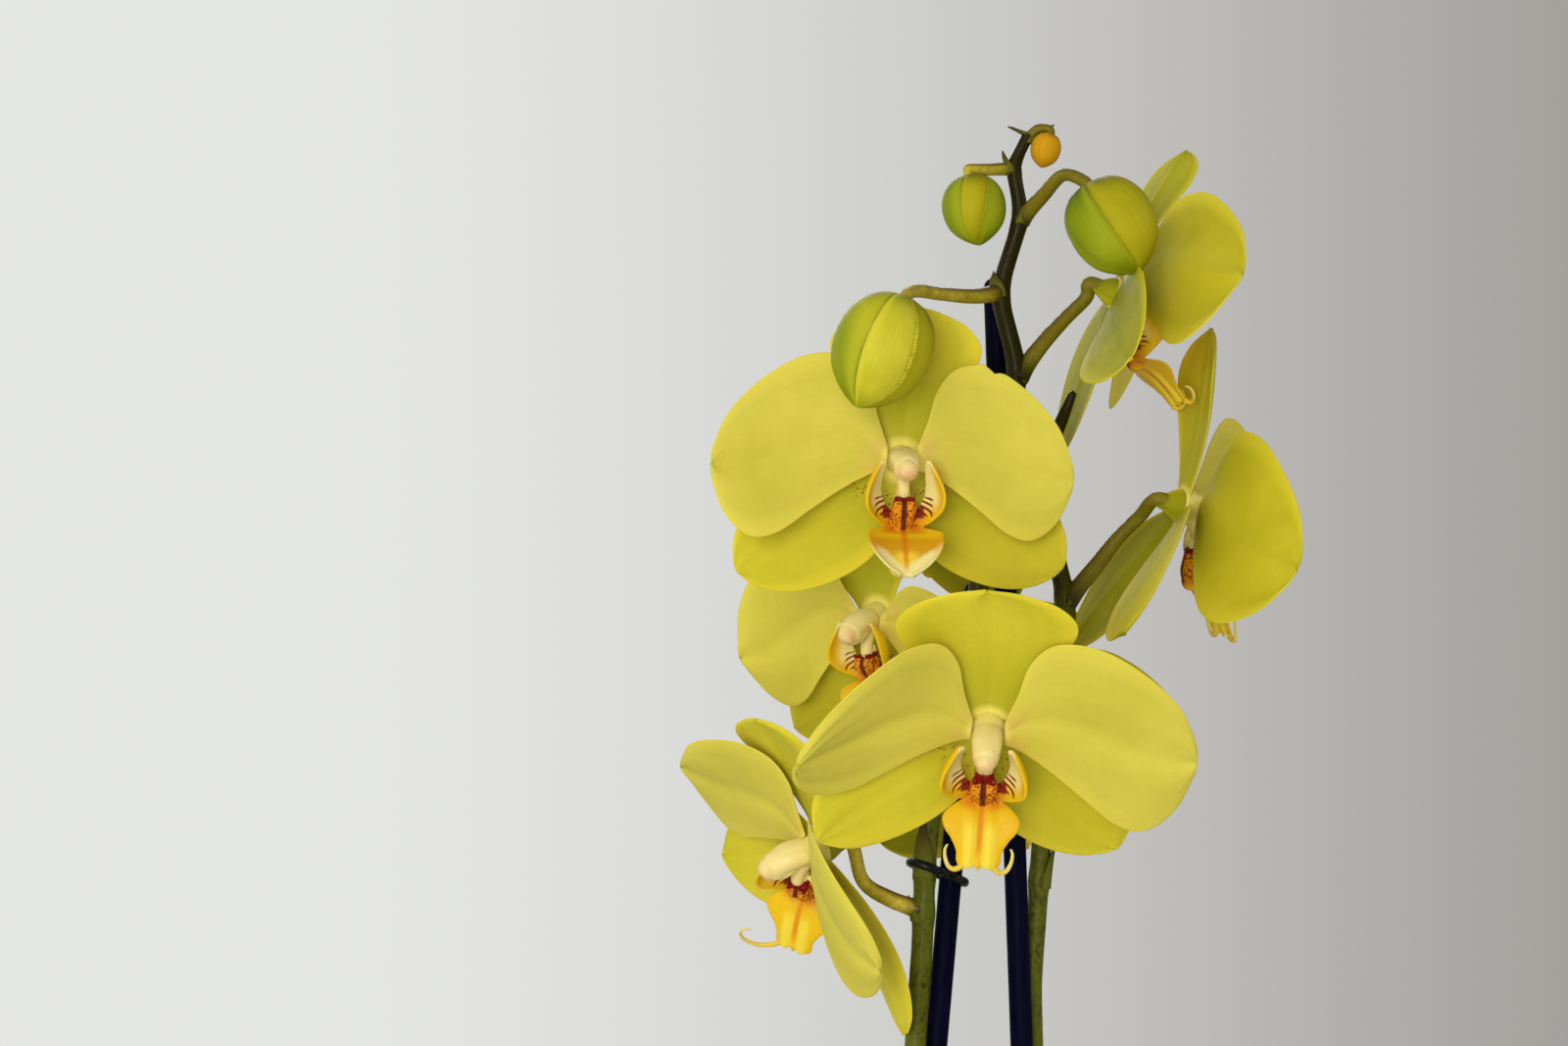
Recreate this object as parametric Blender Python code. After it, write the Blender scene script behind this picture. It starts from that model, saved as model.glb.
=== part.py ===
"""Potted moth orchid: a glazed cover pot, a nursery pot of bark, the plant's crown, leaves and
roots, two staked flower spikes, eight open flowers and four buds. Metres, +Z up. The origin is
the middle of the pot's underside, and the flowers mostly face -Y."""

from math import cos, pi, radians, sin, tau

import bmesh
import bpy
import numpy as np
from mathutils import Vector

MM = 0.001
GAP = 0.3 * MM  # left between pieces that touch

# Pots
POT_HEIGHT = 130 * MM
POT_FOOT_RADIUS = 53 * MM
POT_RIM_RADIUS = 70 * MM
POT_WALL = 4.5 * MM
POT_FLOOR = 6 * MM
NURSERY_HEIGHT = 114 * MM
NURSERY_FOOT_RADIUS = 44 * MM
NURSERY_RIM_RADIUS = 58.5 * MM
NURSERY_WALL = 1.3 * MM
BARK_LEVEL = 108 * MM

# Crown, stems and supports
CROWN_RADIUS = 9 * MM
CROWN_TOP = 150 * MM
STAKE_RADIUS = 2.9 * MM
CLIP_WIRE = 1.05 * MM

# Flowers, in the flower's own frame
TEPAL_THICKNESS = 1.0 * MM
SEPAL_SEAT = -1.6 * MM  # how far in front of the flower's middle the sepals start
PETAL_SEAT = 2.0 * MM
PEDICEL_END = 4.6 * MM  # the pedicel stops this far behind the flower's middle

# Colours
YELLOW = (0.62, 0.55, 0.06)
SEPAL_YELLOW = (0.60, 0.52, 0.04)
LIP_GOLD = (0.80, 0.45, 0.01)
COLUMN_CREAM = (0.85, 0.74, 0.30)
BUD_GREEN = (0.36, 0.37, 0.02)
STEM_GREEN = (0.06, 0.07, 0.01)
LEAF_GREEN = (0.05, 0.13, 0.02)
ROOT_GREY = (0.30, 0.34, 0.24)
BARK_BROWN = (0.10, 0.05, 0.02)
STAKE_NAVY = (0.004, 0.005, 0.02)
GLAZE_WHITE = (0.80, 0.79, 0.76)
CLEAR_PLASTIC = (0.45, 0.47, 0.45)

# Outlines of a flat tepal, rib by rib from base to tip, in millimetres: how far out and how far
# across each rib starts (upper edge), then the same for where it ends (lower edge).
PETAL_RIBS = [
    (3.4, 2.6, 3.4, -2.2),
    (6.0, 9.0, 7.0, -3.6),
    (8.4, 16.5, 12.5, -7.0),
    (13.5, 21.5, 19.0, -12.0),
    (22.0, 21.2, 26.0, -17.6),
    (30.5, 16.0, 32.0, -19.0),
    (37.5, 8.5, 37.5, -15.0),
    (41.0, 0.5, 40.8, -8.0),
    (41.6, -3.8, 41.6, -3.8),
]
DORSAL_RIBS = [
    (2.6, 2.9, 2.6, -2.9),
    (7.0, 5.5, 7.0, -5.5),
    (14.0, 11.5, 14.0, -11.5),
    (21.0, 17.3, 21.0, -17.3),
    (27.5, 19.3, 27.5, -19.3),
    (32.5, 15.5, 32.5, -15.5),
    (35.6, 8.0, 35.6, -8.0),
    (36.8, 2.0, 36.8, -2.0),
    (37.3, 0.0, 37.3, 0.0),
]
LATERAL_RIBS = [
    (2.6, 2.8, 2.6, -2.8),
    (7.0, 7.0, 7.0, -8.5),
    (14.0, 11.5, 14.0, -14.0),
    (22.0, 14.0, 22.0, -15.8),
    (30.0, 14.2, 30.0, -15.2),
    (38.0, 11.8, 38.0, -12.6),
    (44.0, 7.8, 44.0, -8.4),
    (47.3, 3.0, 47.3, -3.4),
    (48.3, 0.0, 48.3, 0.0),
]

# Every tepal: its outline, the side it grows to, and how it is set. phi is its direction round
# the flower, lean and curl tip it towards the flower's face at its base and along its length,
# cup rolls its edges forward and twist turns its tip, all in degrees. size, upper and lower
# stretch it.
TEPALS = {
    "dorsal_sepal": dict(ribs=DORSAL_RIBS, side=1, phi=90, lean=0, curl=8, cup=10),
    "lateral_sepal_left": dict(ribs=LATERAL_RIBS, side=-1, phi=-32, lean=-4, curl=0, cup=8),
    "lateral_sepal_right": dict(ribs=LATERAL_RIBS, side=1, phi=-32, lean=-4, curl=0, cup=8),
    "petal_left": dict(ribs=PETAL_RIBS, side=-1, phi=0, lean=3, curl=5, cup=0),
    "petal_right": dict(ribs=PETAL_RIBS, side=1, phi=0, lean=3, curl=5, cup=0),
}
SEPALS = ("dorsal_sepal", "lateral_sepal_left", "lateral_sepal_right")
PETALS = ("petal_left", "petal_right")

# Every flower: where its middle is in millimetres, how its face is turned (yaw, nod and roll),
# its size, how far its lip hangs, and the tepals that differ from the plain ones above.
FLOWERS = {
    "flower_1": dict(
        at=(-41.7, -6.0, 437.4), turn=(-76, 13, 40), size=1.08, lip_drop=15,
        petal_left=dict(phi=3, lean=23, curl=14, twist=14, size=1.04, lower=1.08),
        petal_right=dict(phi=6, lean=29, curl=-60, twist=7, size=1.03, upper=0.95),
        dorsal_sepal=dict(phi=89, curl=30, cup=26, twist=10, size=1.04, upper=1.08),
        lateral_sepal_right=dict(phi=-46, lean=-15, curl=8, cup=-20),
        lateral_sepal_left=dict(phi=-42, lean=0, curl=14, cup=4, upper=0.95, lower=0.93),
    ),
    "flower_2": dict(
        at=(-0.8, -52.0, 470.5), turn=(-6, 28, 5), size=1.12, lip_drop=0,
        dorsal_sepal=dict(phi=94, lean=2, curl=16, cup=8),
        petal_left=dict(phi=3, lean=4, curl=44, twist=20, size=1.05, upper=1.03, lower=0.86),
        petal_right=dict(phi=3, lean=7, curl=-8, twist=6, size=1.08, lower=1.17),
        lateral_sepal_left=dict(phi=-38, lean=3, curl=16, cup=2, size=0.94, lower=0.8),
        lateral_sepal_right=dict(phi=-37, lean=-8, curl=0, cup=4, size=0.965),
    ),
    "flower_3": dict(
        at=(-26.8, 0.0, 495.9), turn=(-40, 9, 0), size=0.96, lip_drop=0,
        petal_left=dict(phi=-9, lean=6, curl=6, twist=14, size=1.05, upper=0.85),
        petal_right=dict(phi=-16, lean=4, curl=6, upper=0.62),
        dorsal_sepal=dict(phi=76, lean=-4, curl=5, cup=5),
        lateral_sepal_left=dict(phi=-42, lean=-6, curl=4, cup=3, twist=-6),
        lateral_sepal_right=dict(phi=-40, lean=-1, curl=4, cup=3),
    ),
    "flower_4": dict(
        at=(-21.1, -36.0, 535.3), turn=(5, 0, 1), size=1.04, lip_drop=0,
        petal_left=dict(phi=3, lean=2, curl=8, twist=-8, size=1.10, lower=0.97),
        petal_right=dict(phi=0, lean=2, curl=4, twist=5, size=0.97, upper=1.06),
        dorsal_sepal=dict(phi=88, curl=6, cup=8, size=0.99, upper=0.97, lower=0.92),
        lateral_sepal_left=dict(phi=-35, lean=-6, curl=4, cup=6, size=0.97, upper=0.95),
        lateral_sepal_right=dict(phi=-32, lean=-6, curl=4, cup=6, size=0.97, upper=0.95),
    ),
    "flower_5": dict(
        at=(35.8, 0.0, 578.1), turn=(103, 19, 10), size=1.04, lip_drop=-28,
        petal_left=dict(phi=7, lean=2, curl=32, twist=10, size=1.07, lower=1.15),
        petal_right=dict(phi=0, lean=25, curl=5),
        dorsal_sepal=dict(phi=88, lean=6, curl=4, cup=30),
        lateral_sepal_left=dict(phi=-35, lean=-12, curl=14, cup=-12, twist=8),
        lateral_sepal_right=dict(phi=-36, lean=0, curl=0, cup=0, size=0.95),
    ),
    "flower_6": dict(at=(14.6, 40.0, 463.6), turn=(170, 10, 6), size=1.0, lip_drop=0),
    "flower_7": dict(
        at=(52.8, 0.0, 524.1), turn=(110, 12, -6), size=1.14, lip_drop=0,
        petal_left=dict(phi=-5, lean=-30, curl=76, twist=22, size=1.10, upper=0.86),
        petal_right=dict(phi=0, lean=32, curl=40, twist=10),
        dorsal_sepal=dict(phi=96, lean=0, curl=-12, cup=-8, twist=-18, size=1.05),
        lateral_sepal_left=dict(phi=-45, lean=-29, curl=4, cup=-4, twist=5, size=0.97),
        lateral_sepal_right=dict(phi=-50, lean=-6, curl=0, cup=8),
    ),
    "flower_8": dict(
        at=(-14.8, 40.0, 534.5), turn=(190, 12, 0), size=0.93, lip_drop=0,
        lateral_sepal_left=dict(phi=-60, lean=-9, cup=3),
    ),
}
TEPAL_BY_TEPAL = ("flower_2", "flower_4")  # the front flowers, whose tepals are parts of their own

# The stems, as points in millimetres with a radius at each
SPIKES = {
    "flower_spike_left": dict(
        stem=[
            (-10.5, -4.5, 140, 3.0), (-15, -6.5, 180, 3.0), (-18, -6.5, 240, 2.8),
            (-19, -6, 300, 2.7), (-17.8, -3.5, 350, 2.6), (-16.6, -1.2, 387, 2.6),
            (-14.8, 0, 412, 2.6), (-14, 0, 433, 2.5), (-12, -1, 452, 2.5),
            (-6, -2, 474, 2.5), (-2.5, -2.6, 490, 2.5), (-0.2, -3.2, 506, 2.4),
            (4.6, -4, 531, 2.3), (9.4, -4, 558, 2.3), (4.6, -4, 578.5, 2.1),
            (10.2, -4, 597.6, 1.9), (8.2, -4, 610.5, 1.6), (12, -4, 618.5, 1.2),
        ],
        pedicels={
            "flower_1": [(-15.5, 0, 421.5), (-23.5, -1, 424.5), (-30.0, -3, 429.2)],
            "flower_2": [(-12, -1, 452), (-9, -14, 457), (-4.5, -29, 466), (-1.6, -40, 475)],
            "flower_3": [(-4, -2.4, 484), (-9.5, -0.5, 486), (-13, 4, 490), (-17, 7.5, 494)],
            "flower_4": [(4.6, -4, 531), (-7, -9, 537), (-16, -18, 539), (-20, -26, 537)],
            "flower_5": [(9.4, -4, 557), (15.2, -3, 565), (21.6, -1.5, 572), (27, -1, 577.5)],
            "bud_1": [(4.6, -4, 578.5), (-2, -13, 576.5), (-12, -29, 577), (-19, -44, 579.5)],
            "bud_2": [(10.2, -4, 597), (15.2, -9, 602.5), (20, -15, 607.2)],
            "bud_3": [(8.2, -4, 610), (2, -6, 609.5), (-3, -7.5, 609.5)],
            "bud_4": [(12, -4, 617.8), (15, -4.2, 621.2)],
        },
    ),
    "flower_spike_right": dict(
        stem=[
            (11.5, 1.5, 142, 3.0), (14.5, 10, 180, 3.0), (18, 13, 240, 2.8), (18, 13, 300, 2.7),
            (15, 12, 360, 2.6), (13.8, 11, 400, 2.5), (15.2, 9.8, 420, 2.4), (16.4, 9, 440, 2.4),
            (19.5, 8, 465, 2.4), (22.6, 8, 492, 2.4), (22, 8, 503, 2.3), (16.4, 9, 526.5, 1.9),
            (19.0, 4.5, 541, 1.7), (21.8, 1.2, 548.5, 1.4), (23.6, 0.4, 553, 1.0),
        ],
        pedicels={
            "flower_6": [(19.5, 8, 465), (19.5, 17, 470), (17.5, 26, 470.5)],
            "flower_7": [(22.8, 8, 500), (29.8, 6, 508.6), (35.4, 4, 516), (41, 2, 521.8)],
            "flower_8": [(16.4, 9, 526.5), (8, 17, 534), (-3, 26, 540), (-10.5, 30.5, 538.5)],
        },
    ),
}
PEDICEL_RADIUS = 1.6  # millimetres
PEDICEL_FOOT_RADIUS = 2.0

# Buds: middle, half width and half length in millimetres, and the direction of the tip
BUDS = {
    "bud_1": dict(at=(-26.5, -54, 561.5), half=(12.0, 14.5), tip=(-0.45, -0.25, -1.0)),
    "bud_2": dict(at=(31.6, -20.5, 594.4), half=(11.2, 12.4), tip=(0.52, -0.1, -0.85)),
    "bud_3": dict(at=(-1.9, -8, 599.4), half=(7.6, 8.8), tip=(0.15, -0.1, -1.0)),
    "bud_4": dict(at=(16.4, -5, 614.6), half=(3.7, 4.4), tip=(-0.25, -0.1, -1.0)),
}

STAKES = {
    "stake_left": ((-39.5, 3, 60), (-0.8, 3.2, 505)),
    "stake_right": ((22.5, 4, 60), (4.0, 6.2, 583)),
}
# A clip runs round a stem and its stake: both middles, in millimetres
CLIPS = {
    "clip_left": ((-14, 0, 432.2), (-7.6, 3.1, 429.4)),
    "clip_right": ((17.8, 8.2, 452), (8.6, 5.7, 452)),
}

# Leaves: direction, length, half width, where the blade leaves the crown, how steeply it rises
# and how far it bends down by its tip
LEAVES = {
    "leaf_1": dict(turn=248, length=165, half=32, root=124, rise=38, bend=62),
    "leaf_2": dict(turn=66, length=158, half=31, root=128, rise=40, bend=60),
    "leaf_3": dict(turn=262, length=138, half=30, root=134, rise=54, bend=52),
    "leaf_4": dict(turn=80, length=128, half=29, root=138, rise=58, bend=48),
    "leaf_5": dict(turn=274, length=78, half=16, root=144, rise=76, bend=26),
}
LEAF_THICKNESS = 2.4

# Aerial roots, as points in millimetres
ROOTS = {
    "root_1": [(-10, 6, 120), (-24, 14, 123), (-40, 24, 122), (-50, 31, 128),
               (-58, 36, 136), (-66, 41, 135), (-71, 44, 126), (-72, 46, 110)],
    "root_2": [(12, -3, 119), (26, -8, 122), (42, -16, 122), (54, -22, 130),
               (63, -26, 137), (72, -29, 134), (77, -31, 124), (78, -32, 110), (75, -32, 98)],
    "root_3": [(-2, -11, 120), (-6, -24, 123), (-15, -36, 117), (-24, -40, 113.5)],
}
ROOT_RADIUS = 2.6


def clear_scene():
    for old in list(bpy.data.objects):
        bpy.data.objects.remove(old, do_unlink=True)


def material(name, colour, roughness, metallic=0.0):
    made = bpy.data.materials.new(name)
    made.use_nodes = True
    shader = made.node_tree.nodes["Principled BSDF"]
    shader.inputs["Base Color"].default_value = (*colour, 1.0)
    shader.inputs["Roughness"].default_value = roughness
    shader.inputs["Metallic"].default_value = metallic
    return made


def add_object(name, mesh, finish, parent=None):
    """A named object from a mesh, with its faces out and shaded smooth."""
    whole = bmesh.new()
    whole.from_mesh(mesh)
    bmesh.ops.recalc_face_normals(whole, faces=whole.faces)
    whole.to_mesh(mesh)
    whole.free()
    mesh.shade_smooth()
    mesh.set_sharp_from_angle(angle=radians(40))
    mesh.materials.append(finish)
    made = bpy.data.objects.new(name, mesh)
    bpy.context.scene.collection.objects.link(made)
    made.parent = parent
    return made


def hide(cutter):
    cutter.hide_render = True
    cutter.display_type = "WIRE"


def combine(target, others, operation="UNION"):
    for other in others:
        step = target.modifiers.new(operation.title() + " " + other.name, "BOOLEAN")
        step.operation = operation
        step.solver = "EXACT"
        step.object = other
        hide(other)


def mesh_from(name, points, faces):
    mesh = bpy.data.meshes.new(name)
    mesh.from_pydata([tuple(p) for p in points], [], faces)
    mesh.update()
    return mesh


def ring_faces(rows, around):
    """Faces of a closed tube of rows of points, with a cap at each end."""
    faces = [tuple(range(around))[::-1]]
    for row in range(rows - 1):
        for k in range(around):
            near, after = row * around, (row + 1) * around
            step = (k + 1) % around
            faces.append((near + k, near + step, after + step, after + k))
    faces.append(tuple(range((rows - 1) * around, rows * around)))
    return faces


def smooth_rows(rows, share):
    """Rows of numbers read as a smooth curve, at a share of its length from 0 to 1."""
    rows = np.asarray(rows, float)
    spans = len(rows) - 1
    reach = min(max(share, 0.0), 1.0) * spans
    i = min(int(reach), spans - 1)
    t = reach - i
    before, start = rows[max(i - 1, 0)], rows[i]
    end, after = rows[i + 1], rows[min(i + 2, spans)]
    bend = 2 * before - 5 * start + 4 * end - after
    sway = -before + 3 * start - 3 * end + after
    return 0.5 * (2 * start + (end - before) * t + bend * t * t + sway * t * t * t)


def tube(name, points, sides):
    """A closed tube through points, each (x, y, z, radius)."""
    points = np.asarray(points, float)
    centres = points[:, :3]
    along = np.gradient(centres, axis=0)
    rows = []
    across = Vector((0.0, 1.0, 0.02))
    for centre, heading, radius in zip(centres, along, points[:, 3]):
        heading = Vector(heading).normalized()
        across = (across - heading * across.dot(heading)).normalized()
        other = heading.cross(across)
        for k in range(sides):
            turn = tau * k / sides
            rows.append(Vector(centre) + (across * cos(turn) + other * sin(turn)) * radius)
    return mesh_from(name, rows, ring_faces(len(points), sides))


def smooth_tube(name, points, steps, sides):
    return tube(name, [smooth_rows(points, k / steps) for k in range(steps + 1)], sides)


def thick_sheet(name, grid, thickness):
    """A closed solid from a grid of points (rows x columns x 3), with a thickness."""
    grid = np.asarray(grid, float)
    along = np.gradient(grid, axis=0)
    across = np.gradient(grid, axis=1)
    normal = np.cross(along, across)
    normal /= np.linalg.norm(normal, axis=2, keepdims=True)
    rows, columns = grid.shape[:2]
    points = np.concatenate([
        (grid + normal * thickness / 2).reshape(-1, 3),
        (grid - normal * thickness / 2).reshape(-1, 3),
    ])
    under = rows * columns
    faces = []
    for i in range(rows - 1):
        for j in range(columns - 1):
            a, b = i * columns + j, (i + 1) * columns + j
            faces.append((a, a + 1, b + 1, b))
            faces.append((under + a, under + b, under + b + 1, under + a + 1))
    rim = [j for j in range(columns)]
    rim += [i * columns + columns - 1 for i in range(1, rows)]
    rim += [(rows - 1) * columns + j for j in range(columns - 2, -1, -1)]
    rim += [i * columns for i in range(rows - 2, 0, -1)]
    for a, b in zip(rim, rim[1:] + rim[:1]):
        faces.append((a, under + a, under + b, b))
    return mesh_from(name, points, faces)


def turned(name, profile, sides):
    """A solid of revolution about Z. The profile runs up the outside and down to the axis."""
    rows = []
    for radius, height in profile:
        for k in range(sides):
            turn = tau * k / sides
            rows.append((radius * cos(turn), radius * sin(turn), height))
    return mesh_from(name, rows, ring_faces(len(profile), sides))


# ---------------------------------------------------------------- pots and potting mix


def cup_profile(foot, rim, height, wall, floor, start):
    """Up the outside, over the rim and down the inside of a tapered cup."""
    inner_foot = foot - wall + (rim - foot) * floor / height
    return [
        (foot - wall * 0.3, start),
        (foot, start + wall * 0.3),
        (rim - wall * 0.1, start + height - wall * 0.5),
        (rim - wall * 0.35, start + height),
        (rim - wall * 0.75, start + height),
        (rim - wall, start + height - wall * 0.5),
        (inner_foot, start + floor),
    ]


def build_pots():
    glaze = material("glazed ceramic", GLAZE_WHITE, 0.15)
    clear = material("clear plastic", CLEAR_PLASTIC, 0.2)
    profile = cup_profile(POT_FOOT_RADIUS, POT_RIM_RADIUS, POT_HEIGHT, POT_WALL, POT_FLOOR, 0)
    add_object("cover_pot", turned("cover_pot", profile, 32), glaze)
    profile = cup_profile(
        NURSERY_FOOT_RADIUS, NURSERY_RIM_RADIUS, NURSERY_HEIGHT, NURSERY_WALL,
        NURSERY_WALL, POT_FLOOR + GAP,
    )
    lip = POT_FLOOR + GAP + NURSERY_HEIGHT
    rim = NURSERY_RIM_RADIUS
    profile[2:3] = [(rim - 1.2 * MM, lip - 6 * MM), (rim + 1 * MM, lip - 5 * MM)]
    profile[4] = (rim + 1 * MM, lip)
    add_object("nursery_pot", turned("nursery_pot", profile, 28), clear)


def build_bark():
    """The mix fills the nursery pot, heaped a little, with room for the crown and the stakes."""
    finish = material("bark", BARK_BROWN, 0.9)
    base = POT_FLOOR + GAP + NURSERY_WALL + GAP
    foot = NURSERY_FOOT_RADIUS - NURSERY_WALL - 1 * MM
    top = NURSERY_RIM_RADIUS - NURSERY_WALL - 2.6 * MM
    sides = 24
    rows = []
    for share, height in ((1.0, base), (1.0, None), (0.8, 3.0), (0.55, 5.0), (0.3, 6.5)):
        for k in range(sides):
            turn = tau * k / sides
            bump = sin(5 * turn + 9 * share) + 0.7 * sin(11 * turn + 4 * share)
            if height == base:
                radius, z = foot, base
            else:
                radius = top * share
                z = BARK_LEVEL + ((height or 0.0) + 1.1 * bump) * MM
            rows.append((radius * cos(turn), radius * sin(turn), z))
    bark = add_object("bark_mix", mesh_from("bark_mix", rows, ring_faces(5, sides)), finish)
    cutters = []
    for name, (low, high) in STAKES.items():
        low, high = np.array(low) * MM, np.array(high) * MM
        start = low - (high - low) * 0.003
        route = [(*start, STAKE_RADIUS + GAP), (*high, STAKE_RADIUS + GAP)]
        cutters.append(add_object(name + "_hole", tube(name + "_hole", route, 12), finish))
    hole = turned("crown_hole", [
        (CROWN_RADIUS + 1.2 * MM, BARK_LEVEL - 8.4 * MM),
        (CROWN_RADIUS + 1.2 * MM, BARK_LEVEL + 30 * MM),
    ], 16)
    cutters.append(add_object("crown_hole", hole, finish))
    combine(bark, cutters, "DIFFERENCE")


# ---------------------------------------------------------------- crown, leaves, roots, stakes


def build_crown():
    finish = material("crown", LEAF_GREEN, 0.5)
    foot = BARK_LEVEL - 8 * MM
    height = CROWN_TOP - foot
    profile = []
    for k in range(9):
        share = k / 8
        swell = 1.0 if k % 2 else 0.88
        radius = CROWN_RADIUS * swell * (1 - 0.45 * share)
        profile.append((radius, foot + height * share))
    add_object("crown", turned("crown", profile, 14), finish)


def leaf_grid(turn, length, half, root, rise, bend, rows=9, columns=5):
    """The blade arches out from the crown, folded a little along its midrib."""
    heading = radians(turn)
    out = np.array([cos(heading), sin(heading), 0.0])
    aside = np.array([-sin(heading), cos(heading), 0.0])
    centre = out * 11.5 + np.array([0, 0, root])
    grid = []
    step = length / (rows - 1)
    for i in range(rows):
        share = i / (rows - 1)
        slope = radians(rise - bend * share**1.2)
        ahead = out * cos(slope) + np.array([0, 0, sin(slope)])
        above = np.array([0, 0, cos(slope)]) - out * sin(slope)
        width = half * min(1.0, 0.24 + 1.9 * share) * (1 - max(0.0, share - 0.35) ** 2.4 * 2.4)
        width = max(width, 2.2)
        row = []
        for j in range(columns):
            across = 2 * j / (columns - 1) - 1
            lift = width * (0.16 + 0.5 * (1 - share) ** 3) * abs(across)
            row.append(centre + aside * width * across + above * lift)
        grid.append(row)
        centre = centre + ahead * step
    return np.array(grid) * MM


def build_leaves():
    finish = material("leaf", LEAF_GREEN, 0.35)
    for name, blade in LEAVES.items():
        sheet = thick_sheet(name, leaf_grid(**blade), LEAF_THICKNESS * MM)
        add_object(name, sheet, finish)


def build_roots():
    finish = material("aerial root", ROOT_GREY, 0.7)
    for name, route in ROOTS.items():
        points = [(*np.array(p) * MM, ROOT_RADIUS * MM) for p in route]
        add_object(name, smooth_tube(name, points, 3 * (len(route) - 1), 7), finish)


def build_supports():
    plastic = material("stake plastic", STAKE_NAVY, 0.35)
    for name, (low, high) in STAKES.items():
        low, high = np.array(low) * MM, np.array(high) * MM
        near_top = high - (high - low) * 0.004
        near_foot = low + (high - low) * 0.03
        route = [
            (*low, 0.8 * MM), (*near_foot, STAKE_RADIUS),
            (*near_top, STAKE_RADIUS), (*high, STAKE_RADIUS * 0.6),
        ]
        add_object(name, tube(name, route, 12), plastic)
    for name, (stem, stake) in CLIPS.items():
        stem, stake = np.array(stem) * MM, np.array(stake) * MM
        middle = (stem + stake) / 2
        long_way = (stake - stem) / np.linalg.norm(stake - stem)
        short_way = np.cross([0, 0, 1], long_way)
        short_way /= np.linalg.norm(short_way)
        reach = np.linalg.norm(stake - stem) / 2 + STAKE_RADIUS + GAP + CLIP_WIRE
        breadth = STAKE_RADIUS + GAP + CLIP_WIRE
        build_clip(name, middle, long_way * reach, short_way * breadth, plastic)


def build_clip(name, middle, long_way, short_way, finish):
    """A closed wire loop with straight sides and round ends."""
    up = np.cross(long_way, short_way)
    up /= np.linalg.norm(up)
    reach, breadth = np.linalg.norm(long_way), np.linalg.norm(short_way)
    straight = 1 - breadth / reach
    around, sides = 20, 6
    points = []
    for i in range(around):
        turn = tau * i / around
        end = long_way * (straight if cos(turn) > 0 else -straight)
        spoke = long_way / reach * breadth * cos(turn) + short_way * sin(turn)
        outward = spoke / np.linalg.norm(spoke)
        for j in range(sides):
            roll = tau * j / sides
            wire = outward * cos(roll) + up * sin(roll)
            points.append(middle + end + spoke + wire * CLIP_WIRE)
    faces = []
    for i in range(around):
        for j in range(sides):
            near, after = i * sides, (i + 1) % around * sides
            step = (j + 1) % sides
            faces.append((near + j, near + step, after + step, after + j))
    add_object(name, mesh_from(name, points, faces), finish)


# ---------------------------------------------------------------- spikes and buds


def flower_axes(flower):
    """The flower's back direction, as a world vector."""
    yaw, nod, _ = (radians(a) for a in flower["turn"])
    return np.array([-sin(yaw) * cos(nod), cos(yaw) * cos(nod), sin(nod)])


def pedicel_end(owner):
    """Where a pedicel stops, and a point before it that it runs in through, in millimetres."""
    if owner in FLOWERS:
        flower = FLOWERS[owner]
        middle, back = np.array(flower["at"]), flower_axes(flower)
        reach = PEDICEL_END / MM * flower["size"]
        return middle + back * (reach + 4), middle + back * reach
    bud = BUDS[owner]
    tip = np.array(bud["tip"])
    tip = tip / np.linalg.norm(tip)
    middle, reach = np.array(bud["at"]), bud["half"][1]
    return middle - tip * (reach + 3.0), middle - tip * (reach + 0.9)


def build_spikes():
    finish = material("stem", STEM_GREEN, 0.45)
    for name, spike in SPIKES.items():
        points = np.array(spike["stem"]) * MM
        stem = add_object(name, smooth_tube(name, points, 25, 8), finish)
        joined = []
        for owner, route in spike["pedicels"].items():
            lead, end = pedicel_end(owner)
            stops = [*route, tuple(lead), tuple(end)]
            thick = min(1.0, 0.45 + 0.02 * BUDS[owner]["half"][0] ** 1.3) if owner in BUDS else 1.0
            radii = [PEDICEL_FOOT_RADIUS * thick] * 2 + [PEDICEL_RADIUS * thick] * (len(stops) - 2)
            way = [(*np.array(p) * MM, r * MM) for p, r in zip(stops, radii)]
            part = name + "_to_" + owner
            joined.append(add_object(part, smooth_tube(part, way, len(stops) + 3, 6), finish))
        combine(stem, joined)


def bud_mesh(name, middle, half, tip, around=12, rows=8):
    """Three sepals meet along three seams, so the bud is a rounded three-sided egg."""
    axis = Vector(tip).normalized()
    side = axis.cross(Vector((0.0, 1.0, 0.0))).normalized()
    front = axis.cross(side)
    points = []
    for i in range(rows + 1):
        polar = pi * (0.06 + 0.88 * i / rows)
        ring = sin(polar) ** 0.85 * (1 + 0.1 * cos(polar))
        for k in range(around):
            turn = tau * k / around
            lobes = 1 + 0.045 * abs(cos(1.5 * turn)) ** 0.5
            spoke = side * cos(turn) + front * sin(turn)
            points.append(Vector(middle) - axis * half[1] * cos(polar) + spoke * half[0] * ring * lobes)
    return mesh_from(name, [p * MM for p in points], ring_faces(rows + 1, around))


def build_buds():
    finish = material("bud", BUD_GREEN, 0.4)
    for name, bud in BUDS.items():
        add_object(name, bud_mesh(name, bud["at"], bud["half"], bud["tip"]), finish)


# ---------------------------------------------------------------- flowers


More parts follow.
